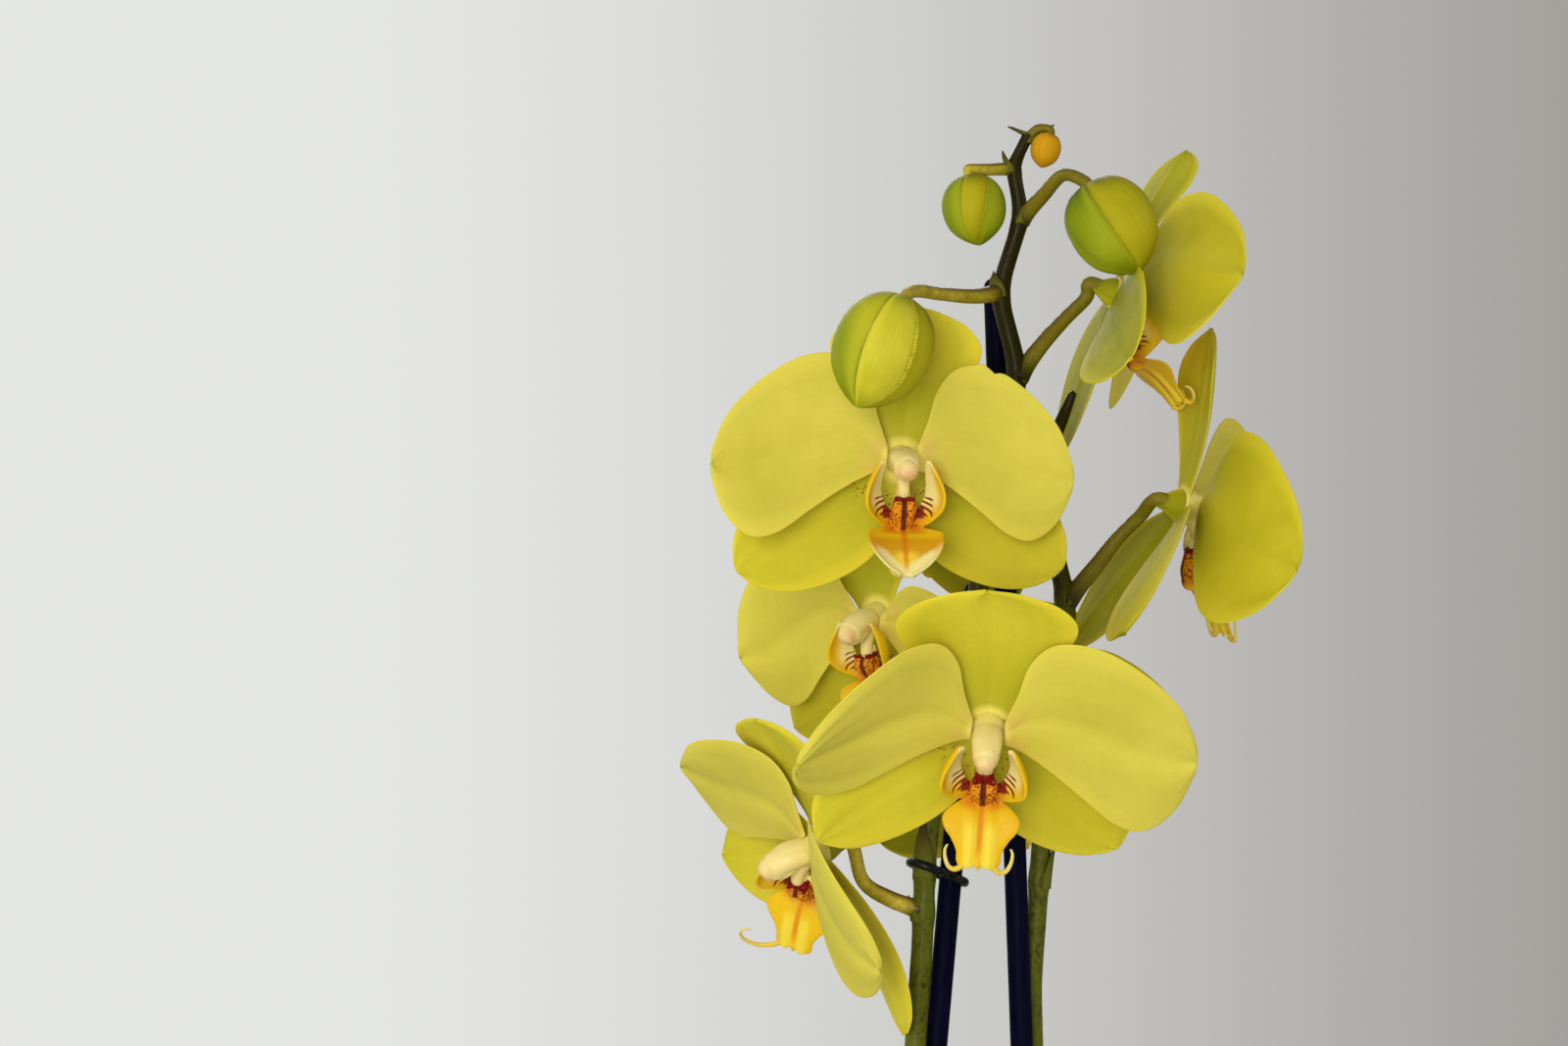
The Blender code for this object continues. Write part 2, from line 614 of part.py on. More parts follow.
def tepal_grid(ribs, side, phi, lean, curl, cup, twist=0.0, size=1.0, upper=1.0, lower=1.0,
               seat=0.0, rows=6, columns=5):
    """The flat outline, bent along its length and across, turned to its place in the flower."""
    length = ribs[-1][0] * size
    wide = 20 * size
    start, sweep = radians(lean), radians(curl or 0.01)
    roll = radians(cup or 0.01)
    turn = radians(phi)
    at_base = start + sweep * ribs[0][0] * size / length
    base_rise = (cos(start) - cos(at_base)) * length / sweep
    grid = []
    for i in range(rows):
        share = 0.985 * (1 - (1 - i / (rows - 1)) ** 1.25)
        out_a, across_a, out_b, across_b = smooth_rows(ribs, share) * size
        row = []
        for j in range(columns):
            blend = j / (columns - 1)
            u = out_a * blend + out_b * (1 - blend)
            w = across_a * blend + across_b * (1 - blend)
            w *= upper if w > 0 else lower
            slope = start + sweep * u / length
            reach = (sin(slope) - sin(start)) * length / sweep
            rise = (cos(start) - cos(slope)) * length / sweep - base_rise
            aside = sin(roll * w / wide) * wide / roll
            lift = (1 - cos(roll * w / wide)) * wide / roll
            spin = radians(twist) * u / length
            aside, lift = aside * cos(spin) - lift * sin(spin), aside * sin(spin) + lift * cos(spin)
            reach -= sin(slope) * lift
            rise += cos(slope) * lift + seat
            x = reach * cos(turn) - aside * sin(turn)
            z = reach * sin(turn) + aside * cos(turn)
            row.append((side * x, -rise, z))
        grid.append(row)
    return np.array(grid) * MM


def tepal(flower_name, name, flower, frame, finish):
    setting = {**TEPALS[name], **flower.get(name, {})}
    setting["size"] = setting.get("size", 1.0) * flower["size"]
    seat = SEPAL_SEAT if name in SEPALS else PETAL_SEAT
    grid = tepal_grid(seat=seat / MM, **setting)
    full = flower_name + "_" + name
    return add_object(full, thick_sheet(full, grid, TEPAL_THICKNESS), finish, frame)


def hub(name, back, front, radius, frame, finish):
    """The short round seat that joins the bases of one whorl, along the flower's axis."""
    rows = []
    for y in (back, front):
        for k in range(10):
            turn = tau * k / 10
            rows.append((radius * cos(turn), -y, radius * sin(turn)))
    return add_object(name, mesh_from(name, rows, ring_faces(2, 10)), finish, frame)


def column_mesh(name, size):
    """The column stands forward from the petals and ends in a blunt cap that tips down."""
    route = [
        (0, -3.0, 0.2, 2.3), (0, -5.0, 0.2, 2.6), (0, -8.0, -0.6, 3.1), (0, -10.5, -2.4, 3.5),
        (0, -11.6, -4.0, 3.0), (0, -12.0, -5.2, 1.6),
    ]
    return tube(name, np.array(route) * MM * size, 8)


def lip_frame(points, size, drop):
    """Lip points are (across, forward, up) from the flower's middle; drop swings them down."""
    hinge = np.array([0.0, 4.0, -6.5])
    swing = radians(drop)
    out = []
    for p in np.asarray(points, float).reshape(-1, 3):
        x, forward, up = p - hinge
        forward, up = forward * cos(swing) + up * sin(swing), up * cos(swing) - forward * sin(swing)
        x, forward, up = np.array([x, forward, up]) + hinge
        out.append((x, -forward, up))
    return np.array(out).reshape(np.shape(points)) * MM * size


# The lip's three lobes and the claw between them: across, forward and up, in millimetres
CLAW = [(4.2, -6.8, 1.6), (4.6, -10.0, 2.4), (4.8, -13.5, 3.2), (4.4, -18.0, 2.6)]
SIDE_LOBE = [
    ((1.6, 4.8, -10.5), (1.8, 4.0, -17.0)),
    ((5.2, 6.0, -9.5), (7.6, 5.5, -14.5)),
    ((6.4, 8.5, -6.5), (9.6, 8.0, -9.0)),
    ((6.0, 10.5, -4.0), (8.4, 10.8, -4.6)),
    ((5.0, 12.2, -2.4), (5.8, 12.4, -2.0)),
]
MIDDLE_LOBE = [(3.6, -16.2, 2.2), (6.6, -18.2, 6.6), (9.6, -20.2, 9.0), (12.4, -23.0, 7.0),
               (14.4, -26.2, 4.0), (15.4, -28.8, 1.2)]


def build_lip(flower_name, flower, frame, finish):
    size, drop = flower["size"], flower["lip_drop"]
    name = flower_name + "_lip"
    rows = []
    for forward, up, breadth in CLAW:
        for k in range(6):
            turn = tau * k / 6
            rows.append((breadth * cos(turn), forward + 1.4 * sin(turn), up))
    points = lip_frame(rows, size, drop)
    claw = add_object(name, mesh_from(name, points, ring_faces(len(CLAW), 6)), finish, frame)
    pieces = []
    for side, word in ((-1, "left"), (1, "right")):
        grid = []
        for inner, outer in SIDE_LOBE:
            inner, outer = np.array(inner), np.array(outer)
            bulge = np.array([0.0, -0.8, 0.0])
            row = [inner + (outer - inner) * t + bulge * sin(pi * t) for t in (0, 0.5, 1)]
            grid.append([p * (side, 1, 1) for p in row])
        grid = lip_frame(grid, size, drop)
        part = name + "_side_lobe_" + word
        pieces.append(add_object(part, thick_sheet(part, grid, 1.0 * MM), finish, frame))
    grid = []
    for forward, up, half in MIDDLE_LOBE:
        row = []
        for t in (-1, -0.5, 0, 0.5, 1):
            raised = 0.28 * half * t * t
            row.append((half * t, forward + raised * 0.5, up + raised * 0.86))
        grid.append(row)
    part = name + "_middle_lobe"
    sheet = thick_sheet(part, lip_frame(grid, size, drop), 1.1 * MM)
    pieces.append(add_object(part, sheet, finish, frame))
    combine(claw, pieces)


def build_flowers():
    yellow = material("petal", YELLOW, 0.55)
    sepal_yellow = material("sepal", SEPAL_YELLOW, 0.55)
    gold = material("lip", LIP_GOLD, 0.45)
    cream = material("column", COLUMN_CREAM, 0.45)
    for name, flower in FLOWERS.items():
        frame = bpy.data.objects.new(name, None)
        bpy.context.scene.collection.objects.link(frame)
        yaw, nod, roll = (radians(a) for a in flower["turn"])
        frame.location = np.array(flower["at"]) * MM
        frame.rotation_mode = "YXZ"
        frame.rotation_euler = (nod, roll, yaw)
        size = flower["size"]
        sepals = [tepal(name, part, flower, frame, sepal_yellow) for part in SEPALS]
        petals = [tepal(name, part, flower, frame, yellow) for part in PETALS]
        if name not in TEPAL_BY_TEPAL:
            seat = hub(name + "_sepals", -3.4 * MM, -0.8 * MM, 3.6 * MM * size, frame, sepal_yellow)
            combine(seat, sepals)
            seat = hub(name + "_petals", 1.2 * MM, 2.7 * MM, 4.2 * MM * size, frame, yellow)
            combine(seat, petals)
        add_object(name + "_column", column_mesh(name + "_column", size), cream, frame)
        build_lip(name, flower, frame, gold)


clear_scene()
build_pots()
build_bark()
build_crown()
build_leaves()
build_roots()
build_supports()
build_spikes()
build_buds()
build_flowers()
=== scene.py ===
from math import cos, pi, radians, sin, tau

import bpy
import numpy as np
from mathutils import Euler, Matrix, Vector


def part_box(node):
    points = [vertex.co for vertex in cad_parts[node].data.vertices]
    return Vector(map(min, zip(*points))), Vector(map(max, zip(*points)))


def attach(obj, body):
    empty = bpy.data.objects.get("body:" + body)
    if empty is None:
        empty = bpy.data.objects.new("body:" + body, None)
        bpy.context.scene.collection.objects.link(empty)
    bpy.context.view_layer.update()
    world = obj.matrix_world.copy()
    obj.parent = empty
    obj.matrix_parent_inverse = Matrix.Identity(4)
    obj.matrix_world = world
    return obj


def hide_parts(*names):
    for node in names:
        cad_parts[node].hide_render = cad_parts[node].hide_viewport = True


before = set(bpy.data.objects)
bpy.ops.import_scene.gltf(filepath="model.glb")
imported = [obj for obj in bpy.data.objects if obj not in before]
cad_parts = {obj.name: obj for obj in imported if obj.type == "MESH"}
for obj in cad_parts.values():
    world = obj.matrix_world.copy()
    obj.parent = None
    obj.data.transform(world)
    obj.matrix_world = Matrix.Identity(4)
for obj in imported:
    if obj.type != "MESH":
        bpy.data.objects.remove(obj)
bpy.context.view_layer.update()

MM = 0.001

# ------------------------------------------------------------------ cover pot
# A plain slip-cast planter, tapered, with a rolled rim and an unglazed foot ring. Tin-white
# glaze covers it inside and out; the glaze is thin on the rim, where the clay warms it.


def node(tree, kind, settings=(), values=(), **inputs):
    """A shader node. values are its first sockets in order, inputs its sockets by name."""
    made = tree.nodes.new("ShaderNode" + kind)
    for key, value in dict(settings).items():
        setattr(made, key, value)
    wanted = list(enumerate(values))
    wanted += [(label.replace("_", " "), value) for label, value in inputs.items()]
    for socket, value in wanted:
        if isinstance(value, bpy.types.NodeSocket):
            tree.links.new(value, made.inputs[socket])
        else:
            made.inputs[socket].default_value = value
    return made


def math(tree, operation, *values):
    return node(tree, "Math", {"operation": operation, "use_clamp": False}, values).outputs[0]


def fade(tree, value, start, end):
    """0 up to start and 1 from end on, with a soft step between. start may be above end."""
    return node(tree, "MapRange", {"interpolation_type": "SMOOTHSTEP"}, Value=value,
                From_Min=start, From_Max=end).outputs[0]


def both(tree, *masks):
    """Where all the masks agree."""
    result = masks[0]
    for mask in masks[1:]:
        result = math(tree, "MULTIPLY", result, mask)
    return result


def paint(tree, under, over, mask, share=None):
    """Colour over laid on colour under where the mask says, at a share of its full strength."""
    if share is not None:
        mask = math(tree, "MULTIPLY", mask, share)
    made = tree.nodes.new("ShaderNodeMix")
    made.data_type = "RGBA"
    for socket, value in ((0, mask), (6, under), (7, over)):
        if isinstance(value, tuple):
            made.inputs[socket].default_value = (*value, 1.0)
        else:
            tree.links.new(value, made.inputs[socket])
    return made.outputs[2]


def group(name, inputs, outputs):
    """A shared effect: its tree, and its named sockets to read and to feed."""
    tree = bpy.data.node_groups.new(name, "ShaderNodeTree")
    for label, kind, value in inputs:
        socket = tree.interface.new_socket(label, in_out="INPUT", socket_type="NodeSocket" + kind)
        if value is not None:
            socket.default_value = value
    for label, kind in outputs:
        tree.interface.new_socket(label, in_out="OUTPUT", socket_type="NodeSocket" + kind)
    return tree, tree.nodes.new("NodeGroupInput").outputs, tree.nodes.new("NodeGroupOutput").inputs


def finish(name, **plain):
    """A material with its Principled shader. plain sockets are the same all over the surface."""
    made = bpy.data.materials.new(name)
    made.use_nodes = True
    shader = made.node_tree.nodes["Principled BSDF"]
    for label, value in plain.items():
        shader.inputs[label.replace("_", " ")].default_value = value
    return made, made.node_tree, shader


def feed(tree, shader, **sources):
    for label, source in sources.items():
        tree.links.new(source, shader.inputs[label.replace("_", " ")])


def relief(tree, height, strength, depth_mm):
    """A normal for small relief too fine to model."""
    return node(tree, "Bump", Strength=strength, Distance=depth_mm * MM, Height=height).outputs[0]


def surface(tree, shader, tone, gloss, rise):
    """Feeds the shader its colour; its roughness, a value and the range it fades over; and its
    relief, a height with its strength and its depth in millimetres."""
    feed(tree, shader, Base_Color=tone, Roughness=fade(tree, *gloss), Normal=relief(tree, *rise))


def place_in(tree, kind="Object"):
    return node(tree, "TexCoord").outputs[kind]


def axes_of(tree, vector):
    return node(tree, "SeparateXYZ", Vector=vector).outputs


# Soft, cloudy unevenness, for any surface: where it is 1 the second tone shows.
mottle, of, out = group("Soft Mottle", [
    ("Vector", "Vector", None), ("Size mm", "Float", 10.0), ("Contrast", "Float", 3.0),
], [("Mask", "Float")])
grown = node(mottle, "VectorMath", {"operation": "SCALE"}, Vector=of["Vector"],
             Scale=math(mottle, "DIVIDE", 1000.0, of["Size mm"]))
cloud = node(mottle, "TexNoise", Vector=grown.outputs[0], Scale=1.0, Detail=4.0, Roughness=0.55)
centred = math(mottle, "SUBTRACT", cloud.outputs[0], 0.5)
scaled = math(mottle, "MULTIPLY", centred, of["Contrast"])
lifted = node(mottle, "Math", {"operation": "ADD", "use_clamp": True}, (scaled, 0.5)).outputs[0]
mottle.links.new(lifted, out["Mask"])


def mottled(tree, size_mm, contrast=3.0, place=None):
    return node(tree, "Group", {"node_tree": mottle}, Size_mm=size_mm, Contrast=contrast,
                Vector=place or place_in(tree)).outputs[0]


def mesh_of(name, shapes):
    """One mesh from shapes, each (points, faces, growth, finish number). growth is stored per
    point as (along, across): 0 to 1 from where it grew to its tip, and -1 to 1 edge to edge."""
    points, faces, growth, numbers = [], [], [], []
    for shape_points, shape_faces, shape_growth, number in shapes:
        shift = len(points)
        points += [tuple(p) for p in shape_points]
        faces += [tuple(shift + k for k in face) for face in shape_faces]
        growth += [(g[0], g[1], 0.0) for g in shape_growth]
        numbers += [number] * len(shape_faces) if np.isscalar(number) else list(number)
    mesh = bpy.data.meshes.new(name)
    mesh.from_pydata(points, [], faces)
    mesh.polygons.foreach_set("material_index", numbers)
    stored = mesh.attributes.new("growth", "FLOAT_VECTOR", "POINT")
    stored.data.foreach_set("vector", np.array(growth, np.float32).ravel())
    mesh.update()
    return mesh


def put(name, data):
    made = bpy.data.objects.new(name, data)
    bpy.context.scene.collection.objects.link(made)
    return made


def show(name, mesh, finishes, stands_for=(), place=None, crisp=None):
    """Puts a finished mesh on the object as one piece. place turns and moves it from the frame
    it was made in, whose coordinates its material can still read as own_place."""
    for made in finishes:
        mesh.materials.append(made)
    if place is not None:
        own = np.empty(len(mesh.vertices) * 3, np.float32)
        mesh.vertices.foreach_get("co", own)
        mesh.attributes.new("own_place", "FLOAT_VECTOR", "POINT").data.foreach_set("vector", own)
        mesh.transform(place)
    mesh.shade_smooth()
    if crisp:
        mesh.set_sharp_from_angle(angle=radians(crisp))
    piece = put(name, mesh)
    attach(piece, "root")
    if stands_for:
        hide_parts(*stands_for)


def ring_faces(rings, sides, closed_loop=False):
    """Faces between rings of points, capped at both ends unless the last ring meets the first."""
    faces = []
    for i in range(rings if closed_loop else rings - 1):
        for k in range(sides):
            a, b, step = i * sides, (i + 1) % rings * sides, (k + 1) % sides
            faces.append((a + k, a + step, b + step, b + k))
    if not closed_loop:
        faces += [tuple(range(sides))[::-1], tuple(range((rings - 1) * sides, rings * sides))]
    return faces


def turned(profile, sides):
    """A turned wall: the profile of (radius, height) is a closed loop round the wall."""
    points, growth = [], []
    for i, (radius, height) in enumerate(profile):
        for k in range(sides):
            turn = tau * k / sides
            points.append((radius * cos(turn), radius * sin(turn), height))
            growth.append((i / (len(profile) - 1), k / sides))
    return points, ring_faces(len(profile), sides, True), growth, 0


def curve_through(rows, shares):
    """Rows of numbers read as one smooth curve, at shares of its length from 0 to 1."""
    rows = np.asarray(rows, float)
    spans = len(rows) - 1
    reach = np.clip(np.asarray(shares, float), 0, 1) * spans
    i = np.minimum(reach.astype(int), spans - 1)
    t = (reach - i)[:, None]
    before, start = rows[np.maximum(i - 1, 0)], rows[i]
    end, after = rows[i + 1], rows[np.minimum(i + 2, spans)]
    bend = 2 * before - 5 * start + 4 * end - after
    sway = -before + 3 * start - 3 * end + after
    return 0.5 * (2 * start + (end - before) * t + bend * t**2 + sway * t**3)


POT_WALL = 4.5 * MM
POT_FLOOR = 6 * MM
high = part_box("cover_pot")[1]
rim_radius, pot_height = high.x, high.z
foot_radius = 53 * MM
outside = [(foot_radius + outward * MM, up * MM) for outward, up in (
    (-6.0, 1.6), (-5.2, 0.3), (-4.0, 0), (-2.0, 0), (-0.7, 0.7), (0, 2.4))]
for share in np.linspace(0.06, 0.93, 14):
    belly = 0.5 * MM * sin(pi * share)
    outside.append((foot_radius + (rim_radius - foot_radius) * share + belly, pot_height * share))
rim = [(rim_radius - inward * MM, pot_height - down * MM) for inward, down in (
    (0.6, 4.6), (0, 2.6), (0.3, 1.0), (1.2, 0.2), (2.4, 0), (3.6, 0.4), (4.4, 1.4), (4.8, 3.4))]
inside = []
for share in np.linspace(0.9, 0.1, 10):
    radius = foot_radius + (rim_radius - foot_radius) * share - POT_WALL
    inside.append((radius, max(pot_height * share, POT_FLOOR + 3 * MM)))
inside += [(foot_radius - POT_WALL - 3 * MM, POT_FLOOR + 0.6 * MM), (20 * MM, POT_FLOOR),
           (2 * MM, POT_FLOOR)]
under = [(2 * MM, 1.6 * MM), (foot_radius - 12 * MM, 1.6 * MM)]

glaze, tree, shader = finish("white glaze", Coat_Weight=0.6, Coat_Roughness=0.06, IOR=1.5)
cloudy = mottled(tree, 46, 1.2)
fleck = mottled(tree, 1.3)
tone = paint(tree, (0.82, 0.81, 0.77), (0.77, 0.755, 0.71), cloudy)
speck = fade(tree, fleck, 0.86, 0.98)
height = axes_of(tree, place_in(tree))[2]
thin = math(tree, "MAXIMUM", fade(tree, height, 0.1255, 0.1295), fade(tree, height, 0.0035, 0.0012))
worn = both(tree, thin, mottled(tree, 6, 2.0))
tone = paint(tree, tone, (0.50, 0.40, 0.30), speck, 0.5)
tone = paint(tree, tone, (0.62, 0.52, 0.42), worn)
dulled = math(tree, "ADD", worn, cloudy)
surface(tree, shader, tone, (dulled, -0.9, 4.2), (mottled(tree, 3.2, 2.0), 0.25, 0.12))
pot_mesh = mesh_of("cover_pot_glazed", [turned(outside + rim + inside + under, 128)])
show("cover_pot_glazed", pot_mesh, [glaze], ["cover_pot"])

# ------------------------------------------------------------------ nursery pot
# The grower's thin pot, moulded in clear polypropylene so that light reaches the roots, with a
# stepped rim. It drops into the cover pot and its rim shows just inside.
low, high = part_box("nursery_pot")
rim_radius, rim_height, wall = high.x, high.z, 1.3 * MM
profile = [(30 * MM, low.z), (43.2 * MM, low.z), (44 * MM, low.z + 0.8 * MM)]
profile += [(rim_radius - inward * MM, rim_height - down * MM) for inward, down in (
    (2.2, 6.2), (2.0, 5.8), (0.3, 5.4), (0, 5.0), (0, 1.6), (0.2, 0.4), (0.9, 0), (1.8, 0),
    (2.3, 0.6), (2.4, 5.0), (3.4, 7.0))]
profile += [(44 * MM - wall, low.z + 2 * MM), (42 * MM - wall, low.z + wall),
            (30 * MM, low.z + wall)]
plastic, tree, shader = finish("clear plastic", IOR=1.49, Transmission_Weight=0.55)
scuffed = mottled(tree, 5)
tone = paint(tree, (0.46, 0.49, 0.45), (0.62, 0.64, 0.60), scuffed)
film = mottled(tree, 16, 4.0)
tone = paint(tree, tone, (0.24, 0.30, 0.14), film, 0.55)
surface(tree, shader, tone, (scuffed, -0.8, 2.6), (scuffed, 0.2, 0.1))
pot_mesh = mesh_of("nursery_pot_clear", [turned(profile, 96)])
show("nursery_pot_clear", pot_mesh, [plastic], ["nursery_pot"])

# ------------------------------------------------------------------ bark mix
# Graded pine bark, broken into flat chips of 8 to 18 mm, filled loose round the roots. Below
# the top layer it is one dark, damp mass.
luck = np.random.default_rng(41)
BARK_TOP = 110 * MM
BARK_RADIUS = 55 * MM
HEAP = 4.5 * MM  # how much higher the bark stands in the middle
bark, tree, shader = finish("pine bark", Specular_IOR_Level=0.25)
grain = node(tree, "TexWave", {"bands_direction": "DIAGONAL"}, Vector=place_in(tree),
             Scale=210.0, Distortion=9.0, Detail=3.0)
tone = paint(tree, (0.035, 0.018, 0.010), (0.150, 0.070, 0.032), mottled(tree, 7, 3.6))
tone = paint(tree, tone, (0.27, 0.155, 0.080), mottled(tree, 19, 6.0), 0.55)
tone = paint(tree, tone, (0.020, 0.011, 0.007), grain.outputs[1], 0.45)
rough = math(tree, "ADD", grain.outputs[1], mottled(tree, 1.2, 2.5))
surface(tree, shader, tone, (mottled(tree, 9, 2.0), -2.0, 1.2), (rough, 0.8, 0.5))


def chip(middle, long_way, wide, thick, turn):
    """A flake of bark: a lopsided eight-cornered slab with chamfered corners."""
    corners = []
    for up in (-1, -0.45, 0.45, 1):
        shrink = 0.72 if abs(up) == 1 else 1.0
        for k in range(8):
            a = tau * (k + 0.5) / 8 + luck.uniform(-0.16, 0.16)
            reach = shrink * luck.uniform(0.82, 1.12)
            spot = Vector((cos(a) * long_way * reach, sin(a) * wide * reach, up * thick))
            spot.z += luck.uniform(-0.25, 0.25) * thick
            corners.append(middle + turn @ spot)
    return corners, ring_faces(4, 8), [(0.5, 0.0)] * len(corners), 0


chips = []
for ring, count in ((5, 3), (16, 12), (25, 20), (34, 28), (42, 36), (49, 40)):
    for layer in range(2):
        for k in range(count):
            a = tau * (k + luck.uniform(-0.4, 0.4) + 0.5 * layer) / count
            r = (ring + luck.uniform(-3.5, 3.5)) * MM
            heap = HEAP * (1 - (r / (BARK_RADIUS - 1 * MM)) ** 2)
            size = luck.uniform(4.0, 8.2) * MM
            r = min(r, BARK_RADIUS - size)
            middle = Vector((r * cos(a), r * sin(a), BARK_TOP + heap - 2.6 * MM + layer * 2.0 * MM))
            lean = Euler((luck.uniform(-0.5, 0.5), luck.uniform(-0.5, 0.5), luck.uniform(0, tau)))
            chips.append(chip(middle, size, size * luck.uniform(0.5, 0.8),
                              luck.uniform(1.1, 2.2) * MM, lean.to_matrix()))
show("bark_chips", mesh_of("bark_chips", chips), [bark], crisp=30)
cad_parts["bark_mix"].data.materials.clear()
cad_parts["bark_mix"].data.materials.append(bark)

# ------------------------------------------------------------------ crown and leaves
# A moth orchid has almost no stem: thick leaves clasp each other in two ranks and the spikes
# break out between them. The leaves are leathery, waxy above, with a sunk midrib.
LEAVES = {
    "leaf_1": dict(turn=248, length=165, half=32, root=124, rise=38, bend=62),
    "leaf_2": dict(turn=66, length=158, half=31, root=128, rise=40, bend=60),
    "leaf_3": dict(turn=262, length=138, half=30, root=134, rise=54, bend=52),
    "leaf_4": dict(turn=80, length=128, half=29, root=138, rise=58, bend=48),
    "leaf_5": dict(turn=274, length=78, half=16, root=144, rise=76, bend=26),
}

# Fine cells under a living skin: a height for relief, and a mask of the brighter cells.
cells, of, out = group("Living Cells", [
    ("Vector", "Vector", None), ("Cell mm", "Float", 0.4),
], [("Height", "Float"), ("Bright", "Float")])
sized = node(cells, "VectorMath", {"operation": "SCALE"}, Vector=of["Vector"],
             Scale=math(cells, "DIVIDE", 1000.0, of["Cell mm"]))
wall_of = node(cells, "TexVoronoi", Vector=sized.outputs[0], Scale=1.0, Randomness=0.9)
cells.links.new(math(cells, "SUBTRACT", 1.0, wall_of.outputs["Distance"]), out["Height"])
picked = node(cells, "SeparateColor", Color=wall_of.outputs["Color"]).outputs[0]
cells.links.new(picked, out["Bright"])

# Veins that fan out from where a blade grew and keep their share of its width.
veins, of, out = group("Growth Veins", [
    ("Count", "Float", 14.0), ("Wander", "Float", 0.05), ("Width", "Float", 0.25),
    ("Seed", "Float", 0.0),
], [("Vein", "Float"), ("Along", "Float"), ("Across", "Float"), ("Edge", "Float")])
grew = node(veins, "Attribute", {"attribute_name": "growth"}).outputs["Vector"]
along, across, _ = axes_of(veins, grew)
shake = node(veins, "TexNoise", {"noise_dimensions": "4D"}, Vector=grew, W=of["Seed"], Scale=5.0,
             Detail=2.0)
off = math(veins, "MULTIPLY", math(veins, "SUBTRACT", shake.outputs[0], 0.5), of["Wander"])
side_step = math(veins, "MULTIPLY", math(veins, "ADD", across, off), of["Count"])
line = math(veins, "ABSOLUTE", math(veins, "SUBTRACT", math(veins, "FRACT", side_step), 0.5))
drawn = node(veins, "MapRange", {"interpolation_type": "SMOOTHSTEP"}, Value=line, From_Min=0.0,
             From_Max=of["Width"], To_Min=1.0, To_Max=0.0).outputs[0]
edge = math(veins, "ABSOLUTE", across)
for source, label in ((drawn, "Vein"), (along, "Along"), (across, "Across"), (edge, "Edge")):
    veins.links.new(source, out[label])


def veined(tree, count, wander, width, seed=0.0):
    return node(tree, "Group", {"node_tree": veins}, Count=count, Wander=wander, Width=width,
                Seed=seed).outputs


def celled(tree, cell_mm):
    return node(tree, "Group", {"node_tree": cells}, Cell_mm=cell_mm,
                Vector=place_in(tree)).outputs


def sheet(grid, half_thickness, growth, number=0, far_number=0):
    """A closed blade: a grid of points (rows x columns x 3) with a half thickness at each. The
    side that across x along points to, and the rim, take the first finish number."""
    along, across = np.gradient(grid, axis=0), np.gradient(grid, axis=1)
    normal = np.cross(across, along)
    normal /= np.maximum(np.linalg.norm(normal, axis=2, keepdims=True), 1e-12)
    offset = normal * half_thickness[..., None]
    rows, columns = grid.shape[:2]
    points = np.concatenate([(grid + offset).reshape(-1, 3), (grid - offset).reshape(-1, 3)])
    far = rows * columns
    near_faces, far_faces, rim_faces = [], [], []
    for i in range(rows - 1):
        for j in range(columns - 1):
            a, b = i * columns + j, (i + 1) * columns + j
            near_faces.append((a, a + 1, b + 1, b))
            far_faces.append((far + a, far + b, far + b + 1, far + a + 1))
    edge = list(range(columns))
    edge += [i * columns + columns - 1 for i in range(1, rows)]
    edge += [(rows - 1) * columns + j for j in range(columns - 2, -1, -1)]
    edge += [i * columns for i in range(rows - 2, 0, -1)]
    for a, b in zip(edge, edge[1:] + edge[:1]):
        rim_faces.append((a, far + a, far + b, b))
    flat = growth.reshape(-1, 2)
    numbers = [number] * len(near_faces) + [far_number] * len(far_faces) + [number] * len(rim_faces)
    return points, near_faces + far_faces + rim_faces, np.concatenate([flat, flat]), numbers


def tube(route, sides=16, number=0):
    """A closed round stem through points, each (x, y, z, radius) in metres."""
    route = np.asarray(route, float)
    headings = np.gradient(route[:, :3], axis=0)
    points, growth = [], []
    across = Vector((0.0, 1.0, 0.03))
    for i, (spot, heading) in enumerate(zip(route, headings)):
        heading = Vector(heading).normalized()
        across = (across - heading * across.dot(heading)).normalized()
        other = heading.cross(across)
        share = i / (len(route) - 1)
        for k in range(sides):
            turn = tau * k / sides
            spoke = (across * cos(turn) + other * sin(turn)) * spot[3]
            points.append(Vector(spot[:3]) + spoke)
            growth.append((share, cos(turn)))
    return points, ring_faces(len(route), sides), growth, number


def smooth_tube(stops, steps, sides=16, number=0):
    """A tube along a smooth curve through stops, each (x, y, z, radius) in millimetres, with its
    far end drawn in so that it closes round."""
    route = curve_through(np.array(stops) * MM, np.linspace(0, 1, steps + 1))
    heading = route[-1, :3] - route[-2, :3]
    heading /= np.linalg.norm(heading)
    tail = []
    for share in (0.35, 0.7, 0.92, 1.0):
        reach = route[-1, 3]
        tail.append((*(route[-1, :3] + heading * reach * share),
                     reach * max(0.06, (1 - share**2) ** 0.5)))
    return tube(np.concatenate([route, tail]), sides, number)


def grown_together(name, shapes, voxel_mm, soften):
    """Overlapping closed shapes fused into one skin, as living tissue is."""
    draft = put(name + "_draft", mesh_of(name, shapes))
    fuse = draft.modifiers.new("Fuse", "REMESH")
    fuse.mode = "VOXEL"
    fuse.voxel_size = voxel_mm * MM
    ease = draft.modifiers.new("Soften", "SMOOTH")
    ease.factor = 0.5
    ease.iterations = soften
    graph = bpy.context.evaluated_depsgraph_get()
    made = bpy.data.meshes.new_from_object(draft.evaluated_get(graph))
    bpy.data.objects.remove(draft)
    made.name = name
    return made


